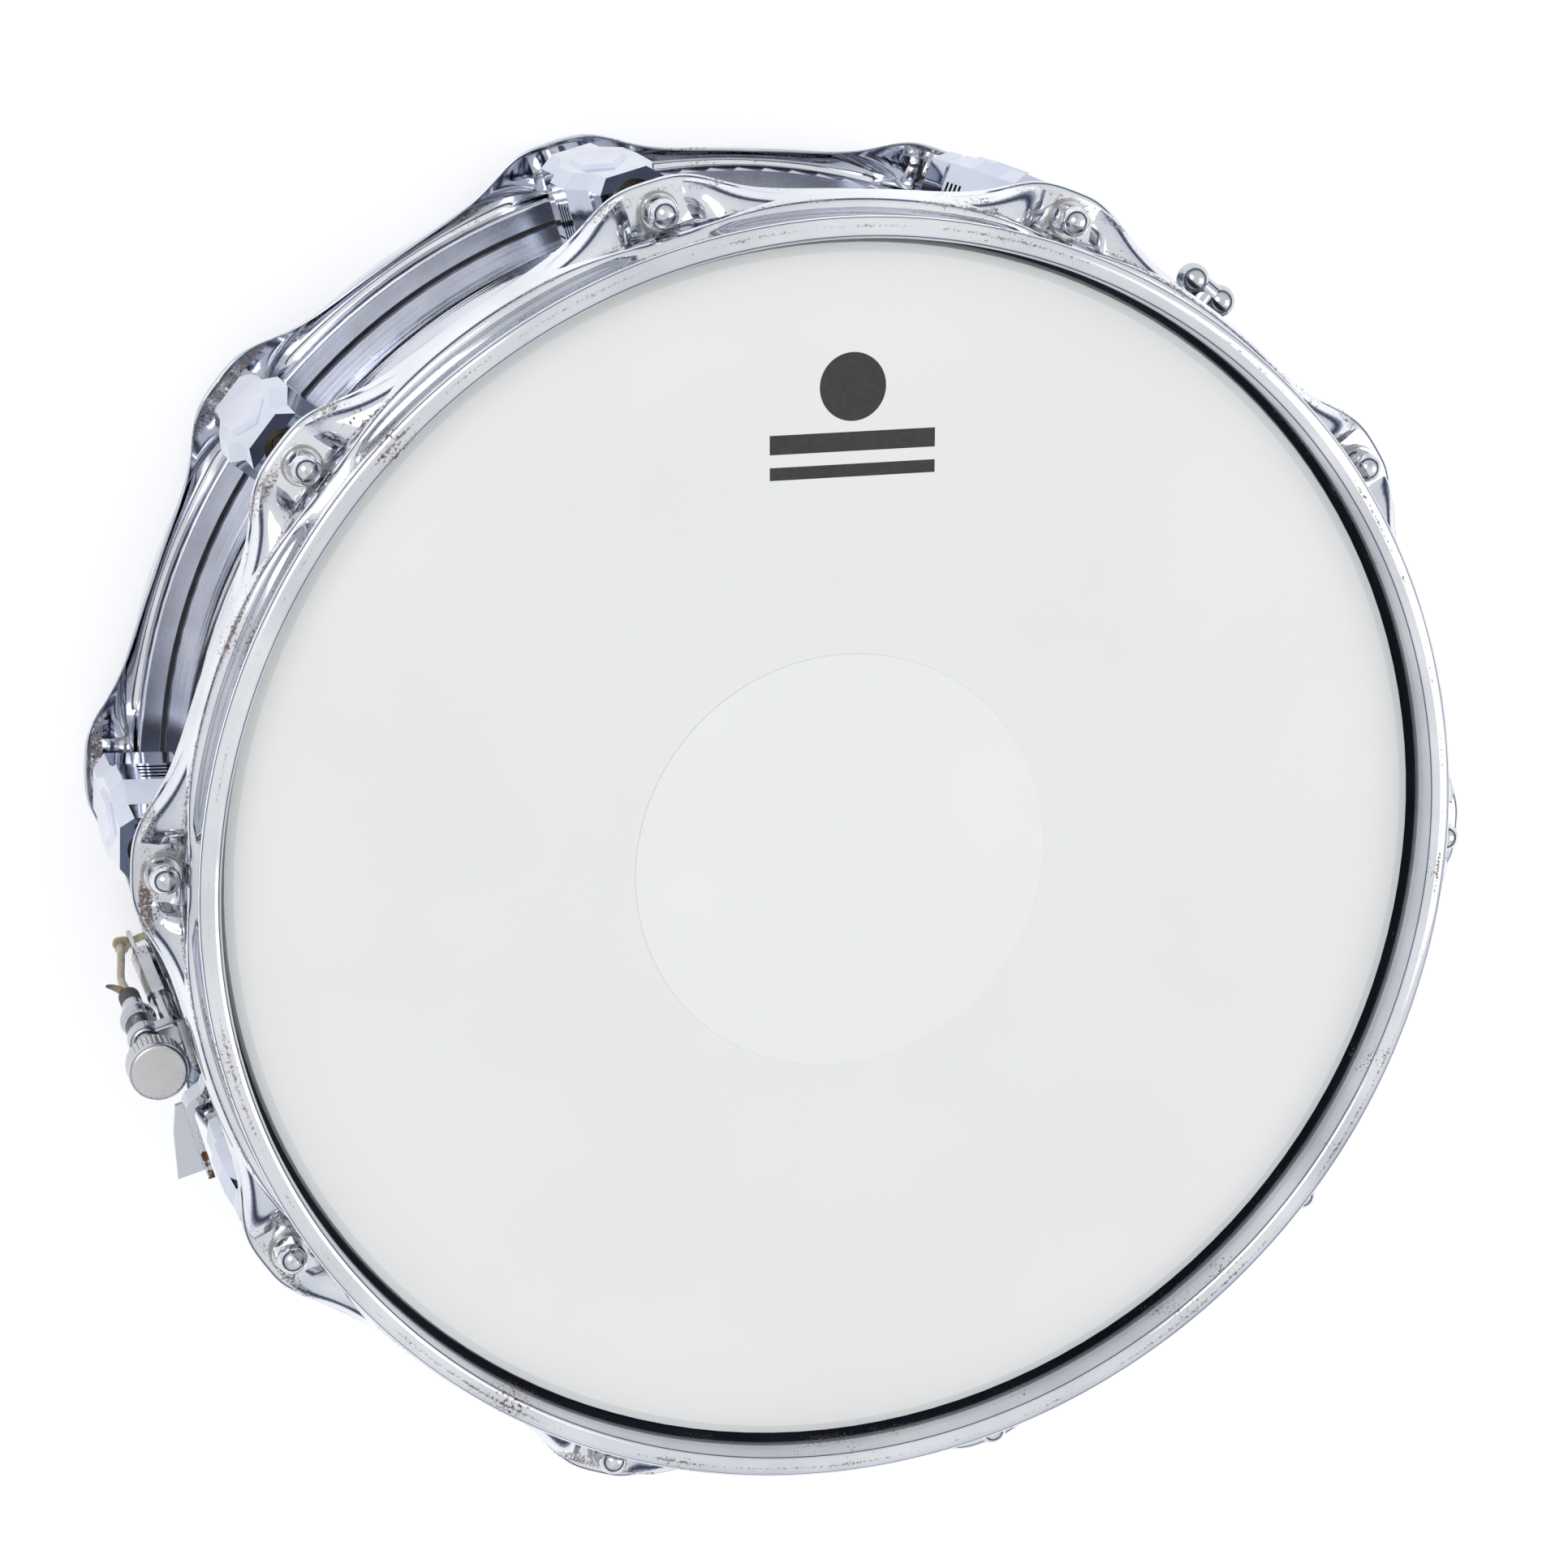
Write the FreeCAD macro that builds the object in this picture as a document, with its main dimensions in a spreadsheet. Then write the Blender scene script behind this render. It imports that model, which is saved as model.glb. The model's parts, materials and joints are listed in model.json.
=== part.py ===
import FreeCAD, Part
import math
import os
import re
from types import SimpleNamespace

import Sketcher
from FreeCAD import Placement, Rotation, Vector

# A ten-lug steel-shell snare drum, standing on its snare-side hoop.
# The origin is on the drum's axis at the level of the surface it stands on, +Z points to the
# batter head, the strainer is at -X and the butt plate at +X. All sizes are millimetres.

SIZES = [
    ("shell_radius", 176.5, "outer radius of the shell"),
    ("shell_wall", 1.2, "sheet thickness of the shell"),
    ("shell_depth", 140.0, "bearing edge to bearing edge"),
    ("edge_roll", 2.5, "how far the bearing edge is rolled in"),
    ("bead_rise", 1.8, "height of the bead round the middle of the shell"),
    ("bead_half", 8.0, "half the width of the bead's crown"),
    ("bead_slope", 2.4, "width of each flank of the bead"),
    ("rim_rise", 12.0, "rim of the hoop above the head"),
    ("rim_radius", 178.8, "inner radius of the hoop's upright wall"),
    ("lip_radius", 185.2, "outer radius of the hoop's top lip"),
    ("skirt_radius", 186.2, "outer radius of the hoop's skirt"),
    ("hoop_wall", 1.6, "sheet thickness of the hoops"),
    ("shoulder_drop", 3.5, "shoulder of the hoop below the head"),
    ("skirt_height", 9.5, "shoulder to the foot of the skirt"),
    ("flange_radius", 188.8, "flange between two ears"),
    ("ear_radius", 200.0, "flange at the tip of an ear"),
    ("flange_edge", 3.0, "depth of the flange's turned edge"),
    ("rod_circle", 192.0, "radius of the circle of tension rods"),
    ("rod_hole", 3.3, "radius of the rod hole in an ear"),
    ("rod_radius", 2.8, "radius of a tension rod's thread"),
    ("rod_length", 42.0, "tension rod under its head"),
    ("rod_collar", 5.2, "radius of the collar under a rod's head"),
    ("rod_square", 6.4, "width of a rod's square head"),
    ("rod_ball", 4.3, "radius of the ball on a rod's head"),
    ("washer_radius", 5.7, "outer radius of a rod washer"),
    ("washer_height", 1.2, "thickness of a rod washer"),
    ("film_height", 0.35, "thickness of a head's film"),
    ("film_gap", 0.4, "shell to the film's collar"),
    ("flesh_inner", 177.6, "inner radius of a flesh hoop"),
    ("flesh_outer", 184.2, "outer radius of a flesh hoop"),
    ("flesh_height", 7.5, "height of a flesh hoop"),
    ("dot_radius", 61.0, "radius of the reinforcing dot"),
    ("dot_height", 0.25, "thickness of the dot"),
    ("lug_half", 36.5, "half the length of a lug"),
    ("lug_end_half", 9.6, "half the width of a lug's ends"),
    ("lug_waist_half", 13.4, "half the width of a lug's waist"),
    ("lug_front", 200.2, "distance of a lug's face from the drum's axis"),
    ("lug_back", 178.9, "distance of a lug's back, clear of the bead"),
    ("lug_bore", 6.3, "radius of the bore in a lug's ends"),
    ("lug_bore_depth", 25.0, "depth of the bore in a lug's ends"),
    ("lug_chamfer", 3.6, "bevel round a lug's face"),
    ("nut_radius", 6.2, "outer radius of a swivel nut"),
    ("nut_height", 14.0, "length of a swivel nut"),
    ("screw_radius", 2.4, "radius of a lug screw"),
    ("screw_head_radius", 4.4, "radius of a lug screw's head"),
    ("channel_half", 12.0, "half the width of the strainer's channel"),
    ("channel_wall", 1.8, "sheet thickness of the strainer's channel"),
    ("knob_radius", 8.5, "radius of the tension knob"),
    ("knob_height", 10.0, "height of the tension knob"),
    ("stem_radius", 2.6, "radius of the tension knob's stem"),
    ("fit_gap", 0.05, "radial clearance of a turning fit"),
    ("cord_radius", 1.2, "radius of the snare cord"),
    ("strand_radius", 0.9, "outer radius of a coiled snare strand"),
    ("strand_pitch", 2.2, "distance between snare strands"),
    ("strand_length", 306.0, "length of the snare strands"),
    ("plate_half", 24.0, "half the width of a snare end plate"),
    ("gate_half", 24.5, "half the width of the snare gate in the lower hoop"),
    ("ball_radius", 4.8, "radius of a ball on the damper's handle"),
    ("pad_radius", 24.0, "radius of the damper's felt"),
    ("pad_height", 9.0, "thickness of the damper's felt"),
]

doc = FreeCAD.newDocument("SnareDrum")
sheet = doc.addObject("Spreadsheet::Sheet", "Sizes")
for row, (word, value, meaning) in enumerate(SIZES, start=1):
    sheet.set(f"A{row}", meaning)
    sheet.set(f"B{row}", str(value))
    sheet.setAlias(f"B{row}", word)
doc.recompute()
size = SimpleNamespace(**{word: value for word, value, meaning in SIZES})

# Heights that follow from the sizes.
HEAD = size.rim_rise + size.shell_depth
TOP = HEAD + size.rim_rise
MIDDLE = TOP / 2
SHOULDER = HEAD - size.shoulder_drop
EAR_TOP = SHOULDER - size.skirt_height + size.hoop_wall
EAR_FOOT = SHOULDER - size.skirt_height

# The same heights written for the sheet.
HEAD_RULE = "rim_rise + shell_depth"
TOP_RULE = "2 * rim_rise + shell_depth"
MIDDLE_RULE = "rim_rise + shell_depth / 2"
SHOULDER_RULE = "rim_rise + shell_depth - shoulder_drop"

LUGS = 10
LUG_ANGLES = [90 - 360 / LUGS * step for step in range(LUGS)]
STRAINER_ANGLE = 180
BUTT_ANGLE = 0
DAMPER_ANGLE = 36
VENT_ANGLE = -72

# Heights and sizes of the holes through the shell.
LUG_SCREW_LIFT = 30.0
STRAINER_SCREW_HEIGHTS = (38.0, 104.0)
BUTT_SCREW_HEIGHTS = (38.0, 62.0)
VENT_HEIGHT = MIDDLE + 30.0
VENT_BARREL = 6.0
DAMPER_HEIGHT = 112.0
DAMPER_BUSH = 6.0

# Places of the strainer's pieces.
SCREW_X = -200.4
BAR_X = -192.0
BACK_X = -178.9
KNOB_FOOT = 119.0
ARM_FOOT = 97.0
ARM_HEIGHT = 7.0
CLAMP_MIDDLE = 82.0
LEVER_Y = -2.0
LEVER_Z = 96.0
EYELET_X = -193.5
BAR_FOOT = 28.0
BAR_TOP = 72.0
BASE_FOOT = 30.0
BASE_HEIGHT = 83.8
CHEEK_HEIGHT = 54.0
PIN_RADIUS = 2.5
STRIP_HEIGHT = 10.0
STEM_FOOT = 77.0
FLIP = Placement(Vector(0, 0, TOP), Rotation(Vector(1, 0, 0), 180))
UPRIGHT = Rotation()
OUTWARD = Rotation(Vector(0, 1, 0), 90)
INWARD = Rotation(Vector(0, 1, 0), -90)

nodes = []


def linked(rule):
    """Turns the words of a rule into references to the sheet."""
    return re.sub(r"[a-z]+(?:_[a-z]+)+", lambda word: "Sizes." + word.group(), str(rule))


def bind(item, **rules):
    for name, rule in rules.items():
        item.setExpression(name, linked(rule))
    return item


def spot(across=0.0, along=0.0, up=0.0, turn=UPRIGHT):
    return Placement(Vector(across, along, up), turn)


def round_axis(angle):
    """Turns a piece made at +X round the drum's axis."""
    return Placement(Vector(), Rotation(Vector(0, 0, 1), angle))


def block(name, place, **rules):
    """A box centred on its place across Y, and starting at it along X and Z."""
    item = bind(doc.addObject("Part::Box", name), **rules)
    doc.recompute()
    item.Placement = place * spot(along=-item.Width.Value / 2)
    return item


def rod(name, place, **rules):
    item = bind(doc.addObject("Part::Cylinder", name), **rules)
    item.Placement = place
    return item


def ball(name, place, **rules):
    item = bind(doc.addObject("Part::Sphere", name), **rules)
    item.Placement = place
    return item


def joined(name, parts):
    item = doc.addObject("Part::MultiFuse", name)
    item.Shapes = parts
    item.Refine = True
    return item


def cut(name, base, tool):
    item = doc.addObject("Part::Cut", name)
    item.Base = base
    item.Tool = tool
    return item


def rounded(name, base, radius, wanted):
    """Rounds the edges of a shape that the test picks."""
    doc.recompute()
    item = doc.addObject("Part::Fillet", name)
    item.Base = base
    picked = [number for number, edge in enumerate(base.Shape.Edges, start=1) if wanted(edge)]
    item.Edges = [(number, radius, radius) for number in picked]
    return item


def as_node(item, label):
    item.Label = label
    nodes.append(item)
    return item


def frozen(label, shape, place=None):
    """A node whose shape comes straight from Part."""
    item = doc.addObject("Part::Feature", label)
    item.Shape = shape
    if place is not None:
        item.Placement = place
    return as_node(item, label)


def group(label, master, places):
    """Separate copies of one fastener, kept together as one node."""
    doc.recompute()
    copies = []
    for place in places:
        solid = master.Shape.copy()
        solid.Placement = place.multiply(solid.Placement)
        copies.append(solid)
    return frozen(label, Part.makeCompound(copies))


def origin_plane(body, role):
    return next(item for item in body.Origin.OriginFeatures if item.Role == role)


def sketch_on(body, name, role, lift=0.0):
    sketch = body.newObject("Sketcher::SketchObject", name)
    sketch.AttachmentSupport = [(origin_plane(body, role), "")]
    sketch.MapMode = "FlatFace"
    sketch.AttachmentOffset = Placement(Vector(0, 0, lift), Rotation())
    return sketch


def outline(sketch, corners):
    """A closed outline of straight lines. Every corner is held by two distances from the origin."""
    count = len(corners)
    ring = []
    for step in range(count):
        turn = 2 * math.pi * step / count
        ring.append(Vector(100 + 50 * math.cos(turn), 100 + 50 * math.sin(turn), 0))
    for step in range(count):
        sketch.addGeometry(Part.LineSegment(ring[step], ring[(step + 1) % count]), False)
    for step in range(count):
        sketch.addConstraint(Sketcher.Constraint("Coincident", step, 2, (step + 1) % count, 1))
    for step, (across, up) in enumerate(corners):
        for kind, start, rule in (("DistanceX", ring[step].x, across), ("DistanceY", ring[step].y, up)):
            held = sketch.addConstraint(Sketcher.Constraint(kind, -1, 1, step, 1, start))
            sketch.setExpression(f"Constraints[{held}]", linked(rule))


def turned(name, corners):
    """A body turned round Z from its half section, given as radius and height."""
    body = doc.addObject("PartDesign::Body", name)
    sketch = sketch_on(body, name + "Section", "XZ_Plane")
    outline(sketch, corners)
    turning = body.newObject("PartDesign::Revolution", name + "Turning")
    turning.Profile = sketch
    turning.ReferenceAxis = (sketch, ["V_Axis"])
    turning.Angle = 360
    sketch.Visibility = False
    return body


def pad_on(name, role, corners, thickness, lift=0.0):
    """A body padded from a straight-sided outline on one of the main planes."""
    body = doc.addObject("PartDesign::Body", name)
    sketch = sketch_on(body, name + "Outline", role, lift)
    outline(sketch, corners)
    pad = body.newObject("PartDesign::Pad", name + "Pad")
    pad.Profile = sketch
    bind(pad, Length=thickness)
    return body


def soften(body, radius, wanted):
    """Rounds the edges of a body's tip that the test picks."""
    return dressed(body, "PartDesign::Fillet", "Radius", radius, wanted)


def bevel(body, width, wanted):
    """Bevels the edges of a body's tip that the test picks."""
    return dressed(body, "PartDesign::Chamfer", "Size", width, wanted)


def dressed(body, kind, measure, value, wanted):
    doc.recompute()
    base = body.Tip
    names = [f"Edge{number}" for number, edge in enumerate(base.Shape.Edges, start=1) if wanted(edge)]
    dressing = body.newObject(kind, body.Name + kind.split("::")[1])
    dressing.Base = (base, names)
    bind(dressing, **{measure: value})
    body.Tip = dressing
    return body


def is_at(edge, side, value):
    """True for an edge whose ends both lie at that value along one axis."""
    return all(abs(getattr(end, side) - value) < 0.01 for end in edge.Vertexes)


def is_ring(edge, radius, height=None):
    """True for a full circle round Z of that radius, and at that height if one is given."""
    curve = edge.Curve
    if not isinstance(curve, Part.Circle) or abs(curve.Radius - radius) > 0.01:
        return False
    return height is None or abs(curve.Center.z - height) < 0.01


# ---------------------------------------------------------------- shell

def make_shell():
    outer = "shell_radius"
    inner = "shell_radius - shell_wall"
    tip = "shell_radius - edge_roll"
    deep = "shell_radius - edge_roll - shell_wall"
    crown = "shell_radius + bead_rise"
    crown_inner = "shell_radius + bead_rise - shell_wall"
    wide = "bead_half + bead_slope"
    body = turned("ShellTurned", [
        (tip, HEAD_RULE),
        (outer, f"{HEAD_RULE} - edge_roll"),
        (outer, f"{MIDDLE_RULE} + {wide}"),
        (crown, f"{MIDDLE_RULE} + bead_half"),
        (crown, f"{MIDDLE_RULE} - bead_half"),
        (outer, f"{MIDDLE_RULE} - bead_half - bead_slope"),
        (outer, "rim_rise + edge_roll"),
        (tip, "rim_rise"),
        (deep, "rim_rise + shell_wall / 2"),
        (inner, "rim_rise + edge_roll + shell_wall / 2"),
        (inner, f"{MIDDLE_RULE} - bead_half - bead_slope"),
        (crown_inner, f"{MIDDLE_RULE} - bead_half"),
        (crown_inner, f"{MIDDLE_RULE} + bead_half"),
        (inner, f"{MIDDLE_RULE} + {wide}"),
        (inner, f"{HEAD_RULE} - edge_roll - shell_wall / 2"),
        (deep, f"{HEAD_RULE} - shell_wall / 2"),
    ])
    crown_radius = size.shell_radius + size.bead_rise
    soften(body, 1.0, lambda edge: is_ring(edge, crown_radius))
    drills = []
    for number, (angle, height, radius) in enumerate(shell_holes(), start=1):
        place = round_axis(angle) * spot(size.shell_radius - 10, 0, height, OUTWARD)
        drills.append(rod(f"ShellDrill{number}", place, Radius=radius, Height=16))
    as_node(cut("Shell", body, joined("ShellDrills", drills)), "shell")


def shell_holes():
    """Every hole through the shell: angle, height and radius."""
    holes = []
    for angle in LUG_ANGLES:
        for side in (-1, 1):
            holes.append((angle, MIDDLE + side * LUG_SCREW_LIFT, "screw_radius + fit_gap"))
    for height in STRAINER_SCREW_HEIGHTS:
        holes.append((STRAINER_ANGLE, height, "screw_radius + fit_gap"))
    for height in BUTT_SCREW_HEIGHTS:
        holes.append((BUTT_ANGLE, height, "screw_radius + fit_gap"))
    holes.append((VENT_ANGLE, VENT_HEIGHT, VENT_BARREL))
    holes.append((DAMPER_ANGLE, DAMPER_HEIGHT, DAMPER_BUSH))
    return holes


# ---------------------------------------------------------------- heads

def make_head(name, label, place):
    """A film stretched over the bearing edge, down to its flesh hoop."""
    collar = "shell_radius + film_gap"
    foot = f"{SHOULDER_RULE} - hoop_wall - flesh_height"
    body = turned(name, [
        ("0", HEAD_RULE),
        ("shell_radius - edge_roll", HEAD_RULE),
        ("shell_radius - edge_roll / 8", f"{HEAD_RULE} - edge_roll / 3"),
        (f"{collar}", f"{HEAD_RULE} - edge_roll - 1"),
        (f"{collar} + film_height", f"{foot} + 1"),
        (f"{collar} + 2 * film_height", f"{foot} + 1"),
        (f"{collar} + 2 * film_height", f"{HEAD_RULE} - edge_roll - 1"),
        ("shell_radius - edge_roll / 8 + film_height", f"{HEAD_RULE} - edge_roll / 3 + film_height"),
        ("shell_radius - edge_roll", f"{HEAD_RULE} + film_height"),
        ("0", f"{HEAD_RULE} + film_height"),
    ])
    body.Placement = place
    as_node(body, label)


def make_flesh_hoop(name, label, place):
    top = f"{SHOULDER_RULE} - hoop_wall"
    foot = f"{SHOULDER_RULE} - hoop_wall - flesh_height"
    body = turned(name, [
        ("flesh_inner", top),
        ("flesh_outer", top),
        ("flesh_outer", foot),
        ("flesh_inner", foot),
    ])
    soften(body, 1.4, lambda edge: is_ring(edge, size.flesh_outer))
    body.Placement = place
    as_node(body, label)


def make_heads():
    make_head("BatterFilm", "batter_head", Placement())
    make_head("SnareFilm", "snare_head", FLIP)
    dot = rod("HeadDot", spot(up=HEAD + size.film_height), Radius="dot_radius", Height="dot_height")
    as_node(dot, "head_dot")
    make_flesh_hoop("BatterFlesh", "batter_flesh_hoop", Placement())
    make_flesh_hoop("SnareFlesh", "snare_flesh_hoop", FLIP)


# ---------------------------------------------------------------- hoops

EAR_SPREAD = 6.4
FLANGE_STEPS = 24


def flange_reach(angle, inset):
    """Radius of the flange's wavy outline: level between the ears and swelling at each one."""
    pitch = 360 / LUGS
    away = (angle - LUG_ANGLES[0] + pitch / 2) % pitch - pitch / 2
    swell = 1 / (1 + (abs(away) / EAR_SPREAD) ** 3.4)
    return size.flange_radius + (size.ear_radius - size.flange_radius) * swell - inset


def flange_slab(inset, height):
    steps = LUGS * FLANGE_STEPS
    points = []
    for step in range(steps):
        angle = 360 * step / steps
        reach = flange_reach(angle, inset)
        turn = math.radians(angle)
        points.append(Vector(reach * math.cos(turn), reach * math.sin(turn), 0))
    curve = Part.BSplineCurve()
    curve.interpolate(points, True)
    face = Part.Face(Part.Wire([curve.toShape()]))
    return face.extrude(Vector(0, 0, height))


def make_flange(name):
    """The lowest flange: a thin wavy ring with an ear at each rod and a turned edge."""
    wall = size.hoop_wall
    bore = Part.makeCylinder(size.skirt_radius - wall / 2, 4 * size.flange_edge,
                             Vector(0, 0, -2 * size.flange_edge))
    plate = flange_slab(0, wall)
    edge = flange_slab(0, size.flange_edge).cut(flange_slab(wall, size.flange_edge))
    edge.translate(Vector(0, 0, wall - size.flange_edge))
    item = doc.addObject("Part::Feature", name)
    item.Shape = plate.cut(bore).fuse(edge).removeSplitter()
    item.Placement = spot(up=EAR_FOOT)
    return item


def make_hoop(name, label, place, gates):
    wall = "rim_radius + hoop_wall"
    body = turned(name + "Section", [
        ("rim_radius", TOP_RULE),
        ("lip_radius", TOP_RULE),
        ("lip_radius", f"{TOP_RULE} - hoop_wall"),
        (wall, f"{TOP_RULE} - hoop_wall"),
        (wall, SHOULDER_RULE),
        ("skirt_radius", SHOULDER_RULE),
        ("skirt_radius", f"{SHOULDER_RULE} - skirt_height"),
        ("skirt_radius - hoop_wall", f"{SHOULDER_RULE} - skirt_height"),
        ("skirt_radius - hoop_wall", f"{SHOULDER_RULE} - hoop_wall"),
        ("rim_radius", f"{SHOULDER_RULE} - hoop_wall"),
    ])
    soften(body, 1.2, lambda edge: is_ring(edge, size.rim_radius, TOP)
           or is_ring(edge, size.skirt_radius, SHOULDER))
    ring = rounded(name + "Lip", body, 0.6, lambda edge: is_ring(edge, size.lip_radius))
    whole = joined(name + "Whole", [ring, make_flange(name + "Flange")])
    drills = []
    for number, angle in enumerate(LUG_ANGLES, start=1):
        hole_place = round_axis(angle) * spot(size.rod_circle, 0, EAR_FOOT - 5)
        drills.append(rod(f"{name}Hole{number}", hole_place, Radius="rod_hole", Height=12))
    if gates:
        for number, angle in enumerate((STRAINER_ANGLE, BUTT_ANGLE), start=1):
            gate_place = round_axis(angle) * spot(size.rim_radius - 4, 0, SHOULDER + 1.5)
            drills.append(block(f"{name}Gate{number}", gate_place,
                                Length=8, Width="2 * gate_half", Height="rim_rise - hoop_wall - 1.5"))
    item = cut(name, whole, joined(name + "Cuts", drills))
    item.Placement = place
    as_node(item, label)


def make_hoops():
    make_hoop("BatterHoop", "batter_hoop", Placement(), gates=False)
    make_hoop("SnareHoop", "snare_hoop", FLIP, gates=True)


# ---------------------------------------------------------------- lugs

FIN_GAPS = (-5.4, -1.8, 1.8, 5.4)
CREST_RISE = 1.1


def make_lug(number, angle):
    """A double-ended casting: boxy bored ends, a wide waist with fins and a raised centre."""
    name = f"Lug{number}"
    level = MIDDLE_RULE
    body = pad_on(name + "Casting", "YZ_Plane", [
        ("lug_end_half", f"{level} + lug_half"),
        ("lug_end_half", f"{level} + lug_half * 0.6"),
        ("lug_waist_half", f"{level} + lug_half * 0.24"),
        ("lug_waist_half", f"{level} - lug_half * 0.24"),
        ("lug_end_half", f"{level} - lug_half * 0.6"),
        ("lug_end_half", f"{level} - lug_half"),
        ("-lug_end_half", f"{level} - lug_half"),
        ("-lug_end_half", f"{level} - lug_half * 0.6"),
        ("-lug_waist_half", f"{level} - lug_half * 0.24"),
        ("-lug_waist_half", f"{level} + lug_half * 0.24"),
        ("-lug_end_half", f"{level} + lug_half * 0.6"),
        ("-lug_end_half", f"{level} + lug_half"),
    ], "lug_front - lug_back", lift=size.lug_back)
    bevel(body, "lug_chamfer", lambda edge: is_at(edge, "X", size.lug_front))
    crest = pad_on(name + "Crest", "YZ_Plane", [
        ("0", f"{level} + lug_half * 0.56"),
        ("lug_waist_half * 0.52", f"{level} + lug_half * 0.22"),
        ("lug_waist_half * 0.52", f"{level} - lug_half * 0.22"),
        ("0", f"{level} - lug_half * 0.56"),
        ("-lug_waist_half * 0.52", f"{level} - lug_half * 0.22"),
        ("-lug_waist_half * 0.52", f"{level} + lug_half * 0.22"),
    ], 2 * CREST_RISE, lift=size.lug_front - CREST_RISE)
    bevel(crest, CREST_RISE, lambda edge: is_at(edge, "X", size.lug_front + CREST_RISE))
    feet = []
    for side in (-1, 1):
        foot_place = spot(size.shell_radius + 0.1, 0, MIDDLE + side * LUG_SCREW_LIFT - 6)
        feet.append(block(f"{name}Foot{side + 2}", foot_place,
                          Length=2.6, Width="2 * lug_end_half", Height=12))
    whole = joined(name + "Whole", [body, crest] + feet)
    tools = []
    for side in (-1, 1):
        foot = MIDDLE + side * size.lug_half - (size.lug_bore_depth if side > 0 else 1)
        bore_place = spot(size.rod_circle, 0, foot)
        tools.append(rod(f"{name}Bore{side + 2}", bore_place, Radius="lug_bore", Height="lug_bore_depth + 1"))
        tap_place = spot(size.shell_radius - 1, 0, MIDDLE + side * LUG_SCREW_LIFT, OUTWARD)
        tools.append(rod(f"{name}Tap{side + 2}", tap_place, Radius="screw_radius", Height=7.5))
        for count, gap in enumerate(FIN_GAPS):
            slot_place = spot(size.lug_back - 1, side * size.lug_waist_half, MIDDLE + gap - 0.9)
            tools.append(block(f"{name}Slot{side + 2}{count}", slot_place, Length=13, Width=7, Height=1.8))
    item = cut(name, whole, joined(name + "Cuts", tools))
    item.Placement = round_axis(angle)
    as_node(item, f"lug_{number:02d}")


def make_lug_fittings():
    """The swivel nuts in the lugs, and the screws that hold the lugs from inside the shell."""
    barrel = rod("NutBarrel", spot(size.rod_circle, 0, 0), Radius="nut_radius", Height="nut_height")
    thread = rod("NutThread", spot(size.rod_circle, 0, -1), Radius="rod_radius + fit_gap", Height=20)
    nut = cut("SwivelNut", barrel, thread)
    low = MIDDLE - size.lug_half + size.lug_bore_depth - size.nut_height
    high = MIDDLE + size.lug_half - size.lug_bore_depth
    group("lug_swivel_nuts", nut,
          [round_axis(angle) * spot(up=height) for angle in LUG_ANGLES for height in (low, high)])
    group("lug_screws", make_screw("LugScrew", 6.0),
          [round_axis(angle) * spot(up=MIDDLE + side * LUG_SCREW_LIFT)
           for angle in LUG_ANGLES for side in (-1, 1)])


def make_screw(name, reach):
    """A pan-head screw at +X that starts inside the shell and reaches past its outer face."""
    inside = size.shell_radius - size.shell_wall
    shank_place = spot(inside, 0, 0, OUTWARD)
    shank = rod(name + "Shank", shank_place, Radius="screw_radius", Height=size.shell_wall + reach)
    head_place = spot(inside - 2.6, 0, 0, OUTWARD)
    head = rod(name + "Head", head_place, Radius="screw_head_radius", Height=2.3)
    neck_place = spot(inside - 0.4, 0, 0, OUTWARD)
    neck = rod(name + "Neck", neck_place, Radius="screw_radius", Height=1)
    whole = joined(name + "Whole", [shank, neck, head])
    slot = block(name + "Slot", spot(inside - 3, 0, -0.5), Length=1.4, Width=12, Height=1)
    return cut(name, whole, slot)


# ---------------------------------------------------------------- tension rods

def make_rods():
    """Ten key rods for each head, each on its own washer."""
    seat = EAR_TOP + size.washer_height
    thread = rod("RodThread", spot(size.rod_circle, 0, seat - size.rod_length),
                 Radius="rod_radius", Height="rod_length + 0.2")
    collar = rod("RodCollar", spot(size.rod_circle, 0, seat), Radius="rod_collar", Height=1.6)
    square = block("RodSquare", spot(size.rod_circle - size.rod_square / 2, 0, seat + 1.4),
                   Length="rod_square", Width="rod_square", Height=4)
    knob = ball("RodBall", spot(size.rod_circle, 0, seat + 5.6), Radius="rod_ball")
    one_rod = joined("KeyRod", [thread, collar, square, knob])
    ring = [round_axis(angle) for angle in LUG_ANGLES]
    group("batter_tension_rods", one_rod, ring)
    group("snare_tension_rods", one_rod, [FLIP * place for place in ring])
    disc = rod("WasherDisc", spot(size.rod_circle, 0, EAR_TOP),
               Radius="washer_radius", Height="washer_height")
    hole = rod("WasherHole", spot(size.rod_circle, 0, EAR_TOP - 1),
               Radius="rod_radius + fit_gap", Height=4)
    washer = cut("RodWasher", disc, hole)
    group("rod_washers", washer, ring + [FLIP * place for place in ring])


# ---------------------------------------------------------------- vent

def make_vent():
    """A flanged tube that lets air in and out of the shell."""
    place = round_axis(VENT_ANGLE)
    start = size.shell_radius - 4
    barrel = rod("VentBarrel", spot(start, 0, VENT_HEIGHT, OUTWARD), Radius=VENT_BARREL - 0.1, Height=6)
    flange = rod("VentFlange", spot(size.shell_radius + 0.2, 0, VENT_HEIGHT, OUTWARD), Radius=9, Height=1.8)
    nut = rod("VentNut", spot(start, 0, VENT_HEIGHT, OUTWARD), Radius=8.4, Height=2.2)
    hole = rod("VentHole", spot(start - 1, 0, VENT_HEIGHT, OUTWARD), Radius=4, Height=12)
    item = cut("Vent", joined("VentWhole", [barrel, flange, nut]), hole)
    item.Placement = place
    as_node(item, "vent_grommet")


# ---------------------------------------------------------------- strainer

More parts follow.
